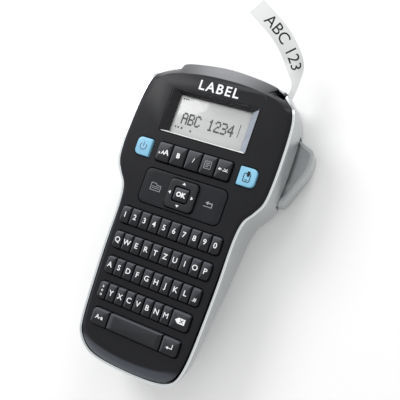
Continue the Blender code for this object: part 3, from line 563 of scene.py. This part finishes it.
def frontCase():
    shape = caseShape
    frontZ, wall, skirt = shape["frontZ"], shape["wall"], shape["skirt"]
    edge = caseOutline(-100.0, shape["side"], shape["top"])
    crease = caseOutline(-91.6, shape["sideCrease"], shape["topCrease"])
    heights = [edgeZ(y) for x, y in edge]
    innerEdge, innerCrease = movedIn(edge, wall), movedIn(crease, wall * 0.6)
    rings = [[(x, y, frontZ - wall) for x, y in innerCrease],
             [(x, y, z - wall * 0.9) for (x, y), z in zip(innerEdge, heights)],
             [(x, y, z - skirt) for (x, y), z in zip(innerEdge, heights)]]
    for inset, drop in ((0.25, skirt), (0.05, skirt - 0.2), (0.0, 0.5), (0.05, 0.15)):
        rings.append([(x, y, z - drop) for (x, y), z in zip(movedIn(edge, inset), heights)])
    for share in (0.05, 0.12, 0.22, 0.35, 0.5, 0.64, 0.78, 0.89, 0.96, 1.0):
        ring = []
        for (ex, ey), (cx, cy), z in zip(edge, crease, heights):
            power = 1.85 - 0.62 * ease((ey - 74) / 14)
            ring.append((ex + (cx - ex) * share, ey + (cy - ey) * share,
                         z + (frontZ - z) * (1 - (1 - share) ** power)))
        rings.append(ring)
    case = ringPiece("frontCase", rings)
    bosses = [startRod("boss", x, y, shape["bossTop"], frontZ - 1.5, 3.4) for x, y in shape["bosses"]]
    carve(case, joinPieces(bosses), "UNION")
    carve(case, joinPieces([startRod("hole", x, y, 20, 36, shape["screwHole"]) for x, y in shape["bosses"]]))
    return case


def openingCutter(x, y, width, height, radii, chamfer=0.35):
    # flares at the face, so that the opening gets a fine chamfer
    top, gap = caseShape["frontZ"], 0.4
    w, h = width + 2 * gap, height + 2 * gap
    outline = [roundedPoints(x, y, w + 2 * out, h + 2 * out, [r + gap + out for r in radii])
               for out in (0.0, 0.0, chamfer, chamfer + 3)]
    levels = (39.4, top - chamfer, top, top + 3)
    return stack("opening", outline, levels)


def rearCase():
    shape = caseShape
    wall = shape["wall"]
    outline = caseOutline(shape["bottomY"], shape["side"], shape["topRear"], shape["lip"], shape["swell"])
    normals = [outward(outline, i) for i in range(len(outline))]
    rims = [edgeZ(y) - shape["skirt"] - shape["gap"] for x, y in outline]

    def hullRing(level, inside):
        ring = []
        for (x, y), normal, rim in zip(outline, normals, rims):
            handle = ease((20 - y) / 90)
            radius = 7.0 + 7.0 * handle
            depth = rim - backZ(y)
            bulge = (1 - handle) * 1.6 * math.sin(math.pi * clamp(level * 1.1))
            curve = clamp((level - 1) * depth / radius + 1)
            inset = 0.13 * handle * depth * level + radius * (1 - math.sqrt(1 - curve * curve)) - bulge + inside
            px, py = x - normal.x * inset, y - normal.y * inset
            ring.append((px, py, rim + (backZ(py) + inside - rim) * level))
        return ring

    def rimRing(inset, share, lift):
        return [(x - n.x * inset, y - n.y * inset, rim + lipLift(y) * share + lift)
                for (x, y), n, rim in zip(outline, normals, rims)]

    levels = (1.0, 0.99, 0.97, 0.94, 0.9, 0.85, 0.79, 0.71, 0.62, 0.52, 0.42, 0.32, 0.22, 0.12, 0.05)
    rings = [hullRing(level, 0.0) for level in levels]
    # the lip beside the skirt, with a fine groove along it
    for inset, share, lift in ((0.0, 1, -0.45), (0.1, 1, -0.15), (0.35, 1, 0), (0.8, 1, 0), (0.84, 1, -0.35),
                               (1.06, 1, -0.35), (1.1, 1, 0), (1.55, 1, 0.03), (1.7, 1, -0.1), (1.72, 0, -0.08)):
        rings.append(rimRing(inset, share, lift))
    rings += [hullRing(level, wall) for level in (0.02, 0.3, 0.6, 0.75, 0.87, 0.96, 1.0)]
    case = ringPiece("rearCase", rings, strips=True)
    bosses, pockets = [], []
    for x, y in shape["bosses"]:
        seat = max(20.5, backZ(y) + wall + 1.8)
        bosses.append(startRod("boss", x, y, backZ(y - 3.8) + wall - 0.6, shape["bossFoot"], 3.8))
        pockets.append(startRod("pocket", x, y, -5, seat, shape["screwPocket"]))
        pick(pockets[-1], "FACE", lambda c: all(abs(p.z - seat) < 0.01 for p in c))
        bpy.ops.mesh.inset(thickness=1.2 * mm)
        bpy.ops.mesh.extrude_region_move(TRANSFORM_OT_translate={"value": (0, 0, 12 * mm)})
        done()
    bosses += [startRod("post", x, y, 0.4, shape["bossFoot"], 2.4) for x, y in shape["posts"]]
    carve(case, joinPieces(bosses), "UNION")
    carve(case, joinPieces(pockets))
    for hole in shape["doorHoles"]:
        carve(case, stack("doorHole", [roundedPoints(*hole, [3.0] * 4)] * 2, (-5, 18)))
    carve(case, startBlock("leverWindow", *shape["leverWindow"]))
    head, slot = (Vector(p) for p in shape["labelWay"])
    way = (slot - head).normalized()
    side = Vector((way.y, -way.x)) * 1.5
    start, end = head + way * 12, slot + way * 9
    channel = (start - side, start + side, end + side, end - side)
    carve(case, flatPiece("labelSlot", [channel], 13.4, 36.5))
    return case


front = frontCase()
rear = rearCase()
print("case shells ready")


keyShape = {
    "top": 46.0, "low": 38.0, "flange": 1.4, "flangeOut": 0.7, "groove": 0.8, "rowY": -8.0, "rowPitch": 16.5,
    "rowHeight": 11.1, "rowWidth": 64.0, "pitch": 7.0, "taper": 0.0243, "closeGap": 0.6, "legendSize": 4.8,
    "bottomWidth": 61.2, "bottomHeight": 10.5, "endKey": 11.5, "styleY": 37.1, "stylePitch": 10.3, "styleHeight": 12.5,
    "blueTop": 45.6, "blueHeight": 12.1,
}
openings = []


def divide(piece):
    # fine enough to follow a dome or a curl
    editAll(piece)
    bpy.ops.mesh.quads_convert_to_tris()
    bpy.ops.mesh.subdivide(number_cuts=2)
    done()


def crownLift(cap, px, py):
    # how far the dome stands above the shoulder; a cap is x, y, width, height, dome lift, top and body
    x, y, width, height, lift = cap[:5]
    across, along = 2 * (px - x) / width, 2 * (py - y) / height
    return lift * max(0.0, 1 - along * along) * max(0.0, 1 - 0.55 * across * across)


def keyCap(name, x, y, width, height, top, radii, lift=0.32, soft=0.45, draft=0.22):
    low = keyShape["low"] + keyShape["flange"]
    cap = startBlock(name, (x - width / 2, y - height / 2, low), (x + width / 2, y + height / 2, top))
    for (sx, sy), radius in zip(((1, 1), (-1, 1), (-1, -1), (1, -1)), radii):
        cx, cy = x + sx * width / 2, y + sy * height / 2
        pick(cap, "EDGE", lambda c: all(abs(p.x - cx) < 0.01 and abs(p.y - cy) < 0.01 for p in c))
        bpy.ops.mesh.bevel(offset=radius * mm, segments=5)
        done()
    centre = (x * mm, y * mm, top * mm)
    pick(cap, "FACE", lambda c: all(p.z > top - 0.01 for p in c))
    bpy.ops.transform.resize(value=(1 - 2 * draft / width, 1 - 2 * draft / height, 1), center_override=centre)
    done()
    pick(cap, "EDGE", lambda c: all(p.z > top - 0.01 for p in c))
    bpy.ops.mesh.bevel(offset=soft * mm, segments=3)
    done()
    pick(cap, "FACE", lambda c: all(p.z > top - 0.001 for p in c))
    for share in (0.84, 0.78, 0.68, 0.5, 0.3):
        bpy.ops.mesh.extrude_region_move()
        bpy.ops.transform.resize(value=(share, share, 1), center_override=centre)
    done()
    for point in cap.data.vertices:
        if point.co.z > (top - 0.001) * mm:
            point.co.z += crownLift((x, y, width, height, lift), point.co.x / mm, point.co.y / mm) * mm
    return cap


def endRadii(first, last, outer=2.2, inner=0.6):
    # the corners at the ends of a row are rounder
    left, right = (outer if end else inner for end in (first, last))
    return [right, left, left, right]


def onCap(piece, cap, dx, dy, lift=0.03):
    # lays a flat sign on a cap's domed top, dx and dy from its middle
    if cap[4]:
        divide(piece)
    for point in piece.data.vertices:
        px, py = point.co.x / mm + cap[0] + dx, point.co.y / mm + cap[1] + dy
        point.co = (px * mm, py * mm, point.co.z + (cap[5] + crownLift(cap, px, py) + lift) * mm)
    return piece


def flatSign(name, outlines, cap, dx=0.0, dy=0.0, look="whiteInk", thick=0.04):
    finishPiece(onCap(flatPiece(name, outlines, 0, thick), cap, dx, dy, 0.015), look, cap[6])


def wordSign(name, words, size, cap, dx=0.0, dy=0.0, bold=0.02, slant=0.0):
    finishPiece(onCap(textPiece(name, words, size, bold, slant), cap, dx, dy), "whiteInk", cap[6])


def legendParts(legend):
    # each part's text, size, boldness and height on the cap
    if legend == ".#":
        return [(legend, 3.4, 0.01, -1.6)]
    if len(legend) > 1:
        return [(letter, 2.9, 0.01, 2.6 - place * 2.6) for place, letter in enumerate(legend)]
    return [(legend, keyShape["legendSize"], 0.0 if legend == "M" else 0.011, -0.2)]


def rowY(row):
    return keyShape["rowY"] - keyShape["rowPitch"] * row


def rowPitch(row):
    return keyShape["pitch"] * (1 - keyShape["taper"] * row)


def keyRow(row, name, node, legends):
    shape = keyShape
    y, pitch, count, shared = rowY(row), rowPitch(row), len(legends), row == 3  # row 3 ends in the backspace key
    rowWidth = shape["rowWidth"] if shared else pitch * count - shape["groove"]
    left, webOut = -rowWidth / 2, shape["flangeOut"]
    width, height, top = pitch - shape["groove"] + 0.25, shape["rowHeight"], shape["top"]
    caps, signs = [], []
    for n, legend in enumerate(legends):
        x = left + n * pitch + (pitch - shape["groove"]) / 2
        caps.append(keyCap(f"{name}Cap{n}", x, y, width, height, top, endRadii(n == 0, n == count - 1 and not shared)))
        for words, size, bold, dy in legendParts(legend):
            signs.append(onCap(textPiece("sign", words, size, bold), (x, y, width, height, 0.32, top), 0, dy))
    low = shape["low"]
    right = left + pitch * count - shape["groove"] + (0.0 if shared else webOut)
    web = startBlock("web", (left - webOut, y - height / 2, low), (right, y + height / 2, low + shape["flange"] + 0.01))
    finishPiece(joinPieces([*caps, web], name), "darkKey", f"{node}_strip", [f"{node}_keys"])
    finishPiece(joinPieces(signs, f"{name}Legends"), "whiteInk", f"{node}_strip")
    openings.append(openingCutter(0, y, rowWidth, height, [2.0] * 4))


def singleKey(name, node, x, y, width, height, radii, lift, look="darkKey", top=keyShape["top"]):
    cap = keyCap(name, x, y, width, height, top, radii, lift)
    low, out = keyShape["low"], keyShape["flangeOut"]
    flange = startBlock("flange", (x - width / 2, y - height / 2 - out, low),
                        (x + width / 2, y + height / 2 + out, low + keyShape["flange"] + 0.01))
    finishPiece(joinPieces([cap, flange], name), look, f"{node}_cap", [node])
    return x, y, width, height, lift, top, f"{node}_cap"


keyRow(0, "numberRow", "number_row", "1234567890")
keyRow(1, "letterRow1", "letter_row_1", "QWERTZUIOP")
keyRow(2, "letterRow2", "letter_row_2", [*"ASDFGHJKL", ".#"])
keyRow(3, "letterRow3", "letter_row_3", ["aeo", *"YXCVBNM"])
print("letter keys ready")


def strokeRing(width, height, radius, stroke):
    return [roundedPoints(0, 0, width, height, [radius] * 4, 3),
            roundedPoints(0, 0, width - 2 * stroke, height - 2 * stroke, [max(0.05, radius - stroke)] * 4, 3)]


def bar(x0, y0, x1, y1):
    return [(x0, y0), (x1, y0), (x1, y1), (x0, y1)]


def bottomKeys():
    # backspace, caps, space and enter
    s = keyShape
    gap, half, height, y = s["closeGap"], s["bottomWidth"] / 2, s["bottomHeight"], rowY(4)
    eraseWidth = s["rowWidth"] - rowPitch(3) * 8 + s["groove"] - gap
    cap = singleKey("eraseKey", "backspace_key", (s["rowWidth"] - eraseWidth) / 2, rowY(3), eraseWidth, s["rowHeight"],
                    endRadii(False, True), 0.3)
    flatSign("eraseSign", [[(-3.4, 0), (-1.4, 1.75), (3.1, 1.75), (3.1, -1.75), (-1.4, -1.75)],
                           [(-0.5, -0.95), (0.6, 0), (-0.5, 0.95), (0.0, 1.2), (0.9, 0.35), (1.8, 1.2), (2.3, 0.95),
                            (1.2, 0), (2.3, -0.95), (1.8, -1.2), (0.9, -0.35), (0.0, -1.2)]], cap, 0.2)
    x, width = half - s["endKey"] / 2, s["endKey"]
    cap = singleKey("capsKey", "caps_key", -x, y, width, height, endRadii(True, False), 0.3)
    wordSign("capsSign", "A-a", 3.7, cap)
    singleKey("spaceKey", "space_key", 0, y, 2 * (half - width - gap), height, endRadii(False, False), 0.1)
    cap = singleKey("enterKey", "enter_key", x, y, width, height, endRadii(False, True), 0.3)
    flatSign("enterSign", [[(-2.2, -0.8), (-0.7, 0.2), (-0.7, -0.58), (1.5, -0.58), (1.5, 1.9), (1.95, 1.9),
                            (1.95, -1.03), (-0.7, -1.03), (-0.7, -1.8)]], cap)
    openings.append(openingCutter(0, y, s["bottomWidth"], height, [2.0] * 4))


def styleKeys():
    s = keyShape
    pitch, y, height = s["stylePitch"], s["styleY"], s["styleHeight"]
    width = pitch - s["closeGap"]
    size, bold, italic, box, underline = (
        singleKey(f"{name}Key", f"{node}_key", (n - 2) * pitch, y, width, height, endRadii(n == 0, n == 4, 1.6), 0.4)
        for n, (name, node) in enumerate((("size", "text_size"), ("bold", "bold"), ("italic", "italic"),
                                          ("box", "box"), ("underline", "underline"))))
    for place, (letter, high) in enumerate((("a", 2.6), ("A", 3.4), ("A", 4.9))):
        wordSign(f"sizeSign{place}", letter, high, size, place * 2.35 - 2.7, high * 0.3 - 1.6)
    wordSign("boldSign", "B", 4.2, bold, bold=0.045)
    wordSign("italicSign", "I", 4.2, italic, bold=0.0, slant=0.3)
    flatSign("boxSign", [*strokeRing(4.6, 5.0, 0.5, 0.35), bar(-1.3, 0.9, 1.3, 1.3), bar(-1.3, -0.2, 1.3, 0.2),
                         bar(-1.3, -1.3, 0.6, -0.9)], box, look="greyInk")
    arrow = [(-3.4, 0), (-2.0, 0.9), (-2.0, 0.3), (-0.9, 0.3), (-0.9, -0.3), (-2.0, -0.3), (-2.0, -0.9)]
    wave = [(0.2, 0.0), (1.0, 0.9), (1.8, 0.0), (2.6, 0.9), (3.3, 0.3), (2.6, 0.4), (1.8, -0.4), (1.0, 0.4)]
    flatSign("underlineSign", [arrow, bar(-0.2, -0.9, 3.3, -0.5), wave], underline)
    openings.append(openingCutter(0, y, 4 * pitch + width, height, [1.4] * 4))


def blueKey(name, x, width, radii):
    y, height = keyShape["styleY"], keyShape["blueHeight"]
    openings.append(openingCutter(x, y, width, height, radii))
    return singleKey(f"{name}Key", f"{name}_key", x, y, width, height, radii, 0.3, "blueKey",
                     keyShape["blueTop"])


def arc(radius, start, step):
    return [(radius * math.cos(a), radius * math.sin(a)) for a in (math.radians(start + n * step) for n in range(21))]


bottomKeys()
styleKeys()
power = blueKey("power", -35.7, 10.7, endRadii(True, False, 3.2, 0.7))
flatSign("powerSign", [arc(2.5, 130, 14) + arc(1.95, 410, -14), bar(-0.3, -0.1, 0.3, 2.9)], power, look="powerInk")
printing = blueKey("print", 36.2, 11.7, endRadii(False, True, 3.2, 0.7))
flatSign("printSign", [*strokeRing(4.6, 5.6, 1.0, 0.5), bar(-0.8, -1.7, 0.8, -1.25)], printing, 0, -0.5, "darkInk")
flatSign("printFlag", [[(-0.9, 0.4), (0, -0.3), (0.9, 0.4), (0.9, 3.2), (-0.9, 3.2)]], printing, 0.5, 0.3,
         "darkInk", 0.07)
print("style keys ready")

navShape = {"x": 0.0, "y": 14.3, "width": 56.6, "height": 22.8, "ringWidth": 20.0, "ringHeight": 19.2,
            "okWidth": 10.4, "okHeight": 9.2, "panelTop": 44.5, "ringTop": 46.6, "okTop": 46.3, "signX": 18.5,
            "arrows": [(0, 7.1), (-7.6, 0), (0, -7.1), (7.6, 0)]}


def navigation():
    s = navShape
    x, y = s["x"], s["y"]

    def clearance(part, gap, radius):
        outline = roundedPoints(x, y, s[f"{part}Width"] + gap, s[f"{part}Height"] + gap, [radius] * 4)
        return stack("clearance", [outline] * 2, (35, 50))

    panel = keyCap("sidePanel", x, y, s["width"], s["height"], s["panelTop"], (4.0,) * 4, 0.0, 0.35, 0.1)
    carve(panel, clearance("ring", 0.8, 3.4))
    finishPiece(panel, "panel", "side_panel", ["side_key_panel"])
    flat = (x, y, s["width"], s["height"], 0.0, s["panelTop"], "side_panel")
    folder = [[(-3.6, -2.3), (3.6, -2.3), (3.6, 1.6), (0.6, 1.6), (-0.2, 2.6), (-3.6, 2.6)],
              [(-3.25, -1.95), (3.25, -1.95), (3.25, 1.25), (0.45, 1.25), (-0.4, 2.25), (-3.25, 2.25)],
              bar(-2.7, -0.9, 2.7, -0.6), bar(-2.7, 0.2, 2.7, 0.5)]
    flatSign("menuSign", folder, flat, -0.1 - s["signX"], 0, "greyInk")
    back = [(-0.2, 1.9), (-2.2, 0.7), (-0.2, -0.5), (-0.2, 0.35), (2.2, 0.35), (2.2, -1.5), (-3.0, -1.5),
            (-3.0, -1.9), (2.7, -1.9), (2.7, 1.0), (-0.2, 1.0)]
    flatSign("backSign", [back], flat, s["signX"] - 0.1, 0, "greyInk")
    ring = keyCap("navRing", x, y, s["ringWidth"], s["ringHeight"], s["ringTop"], (3.2,) * 4, 0.0, 0.8, 0.25)
    carve(ring, clearance("ok", 0.9, 1.8))
    soften(ring, 0.25, 2, 50)
    finishPiece(ring, "ringKey", "nav_ring_pad", ["nav_ring"])
    flat = (x, y, s["ringWidth"], s["ringHeight"], 0.0, s["ringTop"], "nav_ring_pad")
    for n, (dx, dy) in enumerate(s["arrows"]):
        c, t = math.cos(n * math.pi / 2), math.sin(n * math.pi / 2)
        turned = [(px * c - py * t, px * t + py * c) for px, py in ((-1.15, -0.55), (1.15, -0.55), (0, 0.95))]
        flatSign(f"arrow{n}", [turned], flat, dx, dy)
    okCap = (x, y, s["okWidth"], s["okHeight"], 0.4, s["okTop"], "ok_key_cap")
    okKey = keyCap("okKey", x, y, s["okWidth"], s["okHeight"], s["okTop"], (1.5,) * 4, 0.4, 0.6, 0.3)
    finishPiece(okKey, "darkKey", okCap[6], ["ok_key"])
    wordSign("okSign", "OK", 4.1, okCap, bold=0.045)
    openings.append(openingCutter(x, y, s["width"], s["height"], [4.0] * 4, 0.25))


navigation()
print("navigation ready")


displayShape = {"x": 0.0, "y": 64.9, "width": 60.2, "height": 29.8, "glassY": 64.4, "glassWidth": 49.8,
                "glassHeight": 25.4, "depth": 4.0, "text": "ABC 1234", "textX": -19.6, "textY": 1.6,
                "dotWide": 0.77, "dotHigh": 1.08,
                "marks": [(-22.6, 75.2, 1.2, 0.9), (-21.0, 75.2, 1.2, 0.9), (-19.5, 75.2, 1.0, 0.9),
                          (-22.2, 56.2, 1.0, 1.2), (-20.2, 56.2, 1.3, 1.0), (-17.7, 56.2, 1.2, 1.5),
                          (-11.2, 55.6, 1.1, 1.4), (19.9, 63.9, 0.5, 8.6)]}
dotLetters = {"A": "01110 10001 10001 11111 10001 10001 10001", "B": "11110 10001 10001 11110 10001 10001 11110",
              "C": "01110 10001 10000 10000 10000 10001 01110", "1": "00100 01100 00100 00100 00100 00100 01110",
              "2": "01110 10001 00001 00110 01000 10000 11111", "3": "11110 00001 00001 01110 00001 00001 11110",
              "4": "00010 00110 01010 10010 11111 00010 00010"}


def displayParts():
    s = displayShape
    frontZ = caseShape["frontZ"]
    x, y, floor = s["x"], s["y"], frontZ - s["depth"]
    hole = roundedPoints(x, y, s["width"] + 0.6, s["height"] + 0.6, [1.5] * 4)
    openings.append(stack("displayHole", [hole] * 2, (38.5, 48)))
    outer = roundedPoints(x, y, s["width"], s["height"], [1.2] * 4)
    bezel = stack("displayFrame", [outer] * 2, (floor - 1.0, frontZ - 0.1))
    glass = roundedPoints(x, s["glassY"], s["glassWidth"], s["glassHeight"], [0.6] * 4)
    mouth = roundedPoints(x, y, s["width"] - 0.9, s["height"] - 0.9, [1.0] * 4)
    carve(bezel, stack("slope", (glass, glass, mouth, mouth), (floor - 2, floor, frontZ, frontZ + 2)))
    soften(bezel, 0.18, 2, 30)
    finishPiece(bezel, "frame", "casing", ["display_bezel"], 25)
    low, high = (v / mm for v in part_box("lcd_module"))
    panel = startBlock("lcdPanel", low, high)
    soften(panel, 0.25)
    finishPiece(panel, "lcd", "casing", ["lcd_module"])
    inkZ = high.z + 0.03
    bpy.ops.mesh.primitive_plane_add(size=0.00001)
    dots = nameNew("lcdDots")
    editAll(dots)
    bpy.ops.mesh.delete(type="VERT")

    def inkMark(markX, markY, wide, tall):
        place = (markX * mm, markY * mm, inkZ * mm)
        bpy.ops.mesh.primitive_plane_add(size=1, location=place)
        bpy.ops.transform.resize(value=(wide * mm, tall * mm, 1), center_override=place)

    left, top, wide, tall = x + s["textX"], y + s["textY"], s["dotWide"], s["dotHigh"]
    for place, letter in enumerate(s["text"]):
        for line, bits in enumerate(dotLetters.get(letter, "").split()):
            for column, bit in enumerate(bits):
                if bit == "1":
                    inkMark(left + (place * 6 + column + 0.5) * wide, top - (line + 0.5) * tall,
                            wide * 1.35, tall * 1.12)
    for mark in s["marks"]:
        inkMark(*mark)
    done()
    finishPiece(dots, "darkInk", "casing")


displayParts()
for cutter in openings:
    carve(front, cutter)
finishPiece(front, "case", "casing", ["front_shell"], 30)
finishPiece(rear, "silver", "casing", ["rear_shell"], 32)
wordShape = {"words": "LABEL", "size": 8.8, "bold": 0.018, "space": 1.22}
frontWord = textPiece("frontWord", **wordShape)
frontWord.data.transform(Matrix.Translation((0, caseShape["wordY"] * mm, (caseShape["frontZ"] + 0.02) * mm)))
finishPiece(frontWord, "whiteInk", "casing")
print("display ready")


labelShape = {
    "wide": 12.0, "thick": 0.36, "insideZ": 20.4, "turn": 84.0, "steps": 72, "text": "ABC 123", "textSize": 10.4,
    "endMargin": 10,
    "route": [(40.8, 104.4, 23.4), (39.7, 111.6, 27.0), (36.9, 117.6, 30.2), (32.3, 123.6, 34.0),
              (26.5, 129.2, 38.0), (20.4, 133.6, 41.6), (13.6, 137.5, 44.6), (6.7, 141.7, 46.8)],
}


def labelPath(share):
    head, slot = (Vector(p) for p in caseShape["labelWay"])
    way = (slot - head).normalized()
    inside = labelShape["insideZ"]
    route = [(*(head - way * 4), inside), (*head.lerp(slot, 0.5), inside), (*slot, inside), *labelShape["route"]]
    padded = [route[0], *route, route[-1]]
    place = share * (len(route) - 1)
    span = min(int(place), len(route) - 2)
    return Vector(catmull(*padded[span:span + 4], place - span))


def labelPoint(share, across, lift):
    # a place on the ribbon: share of its route, distance from its middle line, height above its face
    point = labelPath(share)
    ahead = (labelPath(min(1.0, share + 0.012)) - labelPath(max(0.0, share - 0.012))).normalized()
    flat = Vector((0, 0, 1)).cross(ahead).normalized()
    upright = ahead.cross(flat)
    turn = ease((share - 0.26) / 0.30) * math.radians(labelShape["turn"])
    side = upright * math.cos(turn) + flat * math.sin(turn)
    face = ahead.cross(side).normalized()
    return point + side * across + face * lift


def labelRibbon():
    s = labelShape
    bpy.ops.mesh.primitive_grid_add(x_subdivisions=s["steps"], y_subdivisions=4, size=1)
    ribbon = nameNew("labelRibbon")
    for point in ribbon.data.vertices:
        point.co = labelPoint(point.co.x + 0.5, point.co.y * s["wide"], 0.0) * mm
    modify(ribbon, "SOLIDIFY", thickness=s["thick"] * mm, offset=0.0)
    finishPiece(ribbon, "tape", "casing", ["label_strip"])
    words = textPiece("labelText", s["text"], s["textSize"])
    divide(words)
    samples = [labelPath(n / 400) for n in range(401)]
    lengths = [0.0]
    for a, b in zip(samples, samples[1:]):
        lengths.append(lengths[-1] + (b - a).length)
    xs = [p.co.x / mm for p in words.data.vertices]
    middle = lengths[-1] - s["endMargin"] - (max(xs) - min(xs)) / 2
    for point in words.data.vertices:
        along = middle - point.co.x / mm
        n = min(range(401), key=lambda i: abs(lengths[i] - along))
        m = n + 1 if lengths[n] <= along and n < 400 else max(0, n - 1)
        share = (n + (along - lengths[n]) / (lengths[m] - lengths[n]) * (m - n)) / 400 if m != n else n / 400
        point.co = labelPoint(share, -point.co.y / mm, s["thick"] / 2 + 0.04) * mm
    finishPiece(words, "darkInk", "casing")


labelRibbon()
print("label ready")


leverShape = {
    "pivot": (46.5, 31.0), "low": 5.0, "high": 22.0, "rim": 2.0, "bore": 1.9,
    "outline": [(49.2, 27.6), (53.6, 28.0), (57.2, 30.2), (61.8, 42.0), (64.8, 50.0), (66.4, 57.0), (66.4, 62.8),
                (64.8, 67.2), (60.0, 69.4), (53.8, 72.0), (50.0, 72.4), (49.6, 60.0), (49.4, 42.0), (45.5, 34.6),
                (42.6, 31.8), (44.2, 27.9)],
    "face": [(50, 34), (55.6, 34.4), (59.9, 44), (62.7, 51), (64.2, 57.4), (64.1, 62.2), (63.1, 65.4),
             (58.5, 67.3), (50, 70)],
}


def cutterLever():
    s = leverShape
    lever = flatPiece("lever", [smoothLoop(s["outline"])], s["low"], s["high"])
    carve(lever, flatPiece("bay", [smoothLoop(s["face"])], s["high"] - s["rim"], s["high"] + 5))
    soften(lever, 0.55, 3, 45)
    carve(lever, startRod("bore", *s["pivot"], 0, 27, s["bore"]))
    finishPiece(lever, "silver", "lever", ["cutter_lever"])


cutterLever()
print("lever ready")


doorShape = {
    "battery": {"node": "battery_door", "body": "battery_cover",
                "grooves": [(-8, -23.2 - n * 1.9, 8, -22.3 - n * 1.9) for n in range(5)]},
    "cassette": {"node": "cassette_door", "body": "cassette_cover",
                 "grooves": [(14.1 - n * 1.9, 52, 15 - n * 1.9, 68) for n in range(5)]},
}


def nodeCopy(name, node):
    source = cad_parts[node]
    piece = source.copy()
    piece.data = source.data.copy()
    piece.name = piece.data.name = name
    for key in list(piece.keys()):
        del piece[key]
    bpy.context.scene.collection.objects.link(piece)
    editAll(piece)
    bpy.ops.mesh.remove_doubles(threshold=1e-6)
    bpy.ops.mesh.dissolve_limited(angle_limit=math.radians(1))
    done()
    return piece


def doors():
    for name, s in doorShape.items():
        door = nodeCopy(f"{name}Door", s["node"])
        soften(door, 0.3, 2, 50)
        # grip grooves across the free edge
        tools = [startBlock("groove", (x0, y0, -4), (x1, y1, 0.5)) for x0, y0, x1, y1 in s["grooves"]]
        carve(door, joinPieces(tools))
        finishPiece(door, "silver", s["body"], [s["node"]], 30)


doors()
print("doors ready")


cellShape = {"radius": 5.25, "length": 44.5, "y": -44.75, "z": 20.5, "count": 6, "gap": 0.35, "knob": 1.9}


def cells():
    s = cellShape
    half, radius, knob = s["length"] / 2, s["radius"], s["knob"]
    spacing = 2 * radius + s["gap"]
    profile = [(0, half), (knob, half), (knob, half - 1.0), (radius - 0.7, half - 1.0), (radius - 0.2, half - 1.2),
               (radius, half - 1.6), (radius, 0.9 - half), (radius - 0.3, 0.4 - half), (radius - 0.9, -half),
               (0, -half)]
    for n in range(s["count"]):
        x = (n - (s["count"] - 1) / 2) * spacing
        way = -1 if n % 2 else 1
        rings = []
        for r, at in profile:
            rings.append([(x + max(r, 0.02) * math.cos(a), s["y"] - way * at, s["z"] + max(r, 0.02) * math.sin(a))
                          for a in (2 * math.pi * i / 40 for i in range(40))])
        cell = ringPiece(f"cell{n + 1}", rings)
        along = cell.data.attributes.new("along", "FLOAT", "POINT")
        for point, value in zip(cell.data.vertices, along.data):
            value.value = ((s["y"] - point.co.y / mm) / way + half) / s["length"]
        finishPiece(cell, "jacket", "casing", [f"battery_{n + 1}"], 30)


cells()
print("cells ready")


# CAD parts that stay as they are get their materials

carriedOver = {
    "window": ["display_window"], "greyPlastic": ["nav_rocker", "mechanism_plate"], "board": ["main_board"],
    "matRubber": ["keypad_mat"], "rollerRubber": ["platen_roller", "ribbon_spool"], "brass": ["motor_pinion"],
    "gearPlastic": ["idler_gear", "platen_gear", "take_up_spindle"], "cassette": ["tape_cassette"],
    "tape": ["tape_roll"],
    "steel": ["drive_motor", "print_head", "cutter_blade", "lever_pin", "lever_spring", "battery_contacts_lower",
              "battery_contacts_upper", *(f"case_screw_{n}" for n in range(1, 7))],
}
for look, nodes in carriedOver.items():
    for node in nodes:
        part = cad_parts[node]
        part.data.materials.clear()
        part.data.materials.append(looks[look].material)
print("inner parts ready")


stageShape = {"floor": 6.0, "world": 0.78, "lights": {"keyLight": ((-0.75, 0.55, 0.85), 0.6, 6.5),
                                               "topLight": ((0.05, 0.95, 0.5), 0.35, 2.5)},
              "camera": (128.75, -2.8, 375.8), "lens": 51.5, "right": (0.89742, 0.32569, -0.29763),
              "up": (-0.29157, 0.94409, 0.15397), "back": (0.33112, -0.0514, 0.94219)}


def areaLight(name, place, size, power):
    bpy.ops.object.light_add(type="AREA", location=place)
    lamp = bpy.context.object
    lamp.name = name
    lamp.data.shape, lamp.data.size, lamp.data.energy = "DISK", size, power
    lamp.rotation_euler = (-Vector(place)).to_track_quat("-Z", "Y").to_euler()


def stage():
    s = stageShape
    bpy.ops.mesh.primitive_plane_add(size=s["floor"], location=(0, 0, -0.0002))
    floor = bpy.context.object
    floor.name = "floor"
    look = Look("floorPaper", (0.93, 0.93, 0.93), 0.9)
    fibre = look.noise(300, 3)
    look.set(base=look.blend(fibre, (0.925, 0.925, 0.925, 1), (0.94, 0.94, 0.94, 1)))
    floor.data.materials.append(look.material)
    world = bpy.data.worlds.new("studio")
    bpy.context.scene.world = world
    world.use_nodes = True
    background = world.node_tree.nodes["Background"]
    background.inputs[0].default_value, background.inputs[1].default_value = (1, 1, 1, 1), s["world"]
    bpy.context.scene.view_settings.view_transform = "Standard"
    for name, light in s["lights"].items():
        areaLight(name, *light)
    camera = addObject("camera", bpy.data.cameras.new("camera"))
    columns = [Vector(s[k]) for k in ("right", "up", "back")]
    turn = Matrix(columns).transposed().to_4x4()
    camera.matrix_world = Matrix.Translation(Vector(s["camera"]) * mm) @ turn
    camera.data.lens, camera.data.sensor_width = s["lens"], 36.0
    camera.data.clip_start, camera.data.clip_end = 0.01, 10
    bpy.context.scene.camera = camera


stage()
print("stage ready")
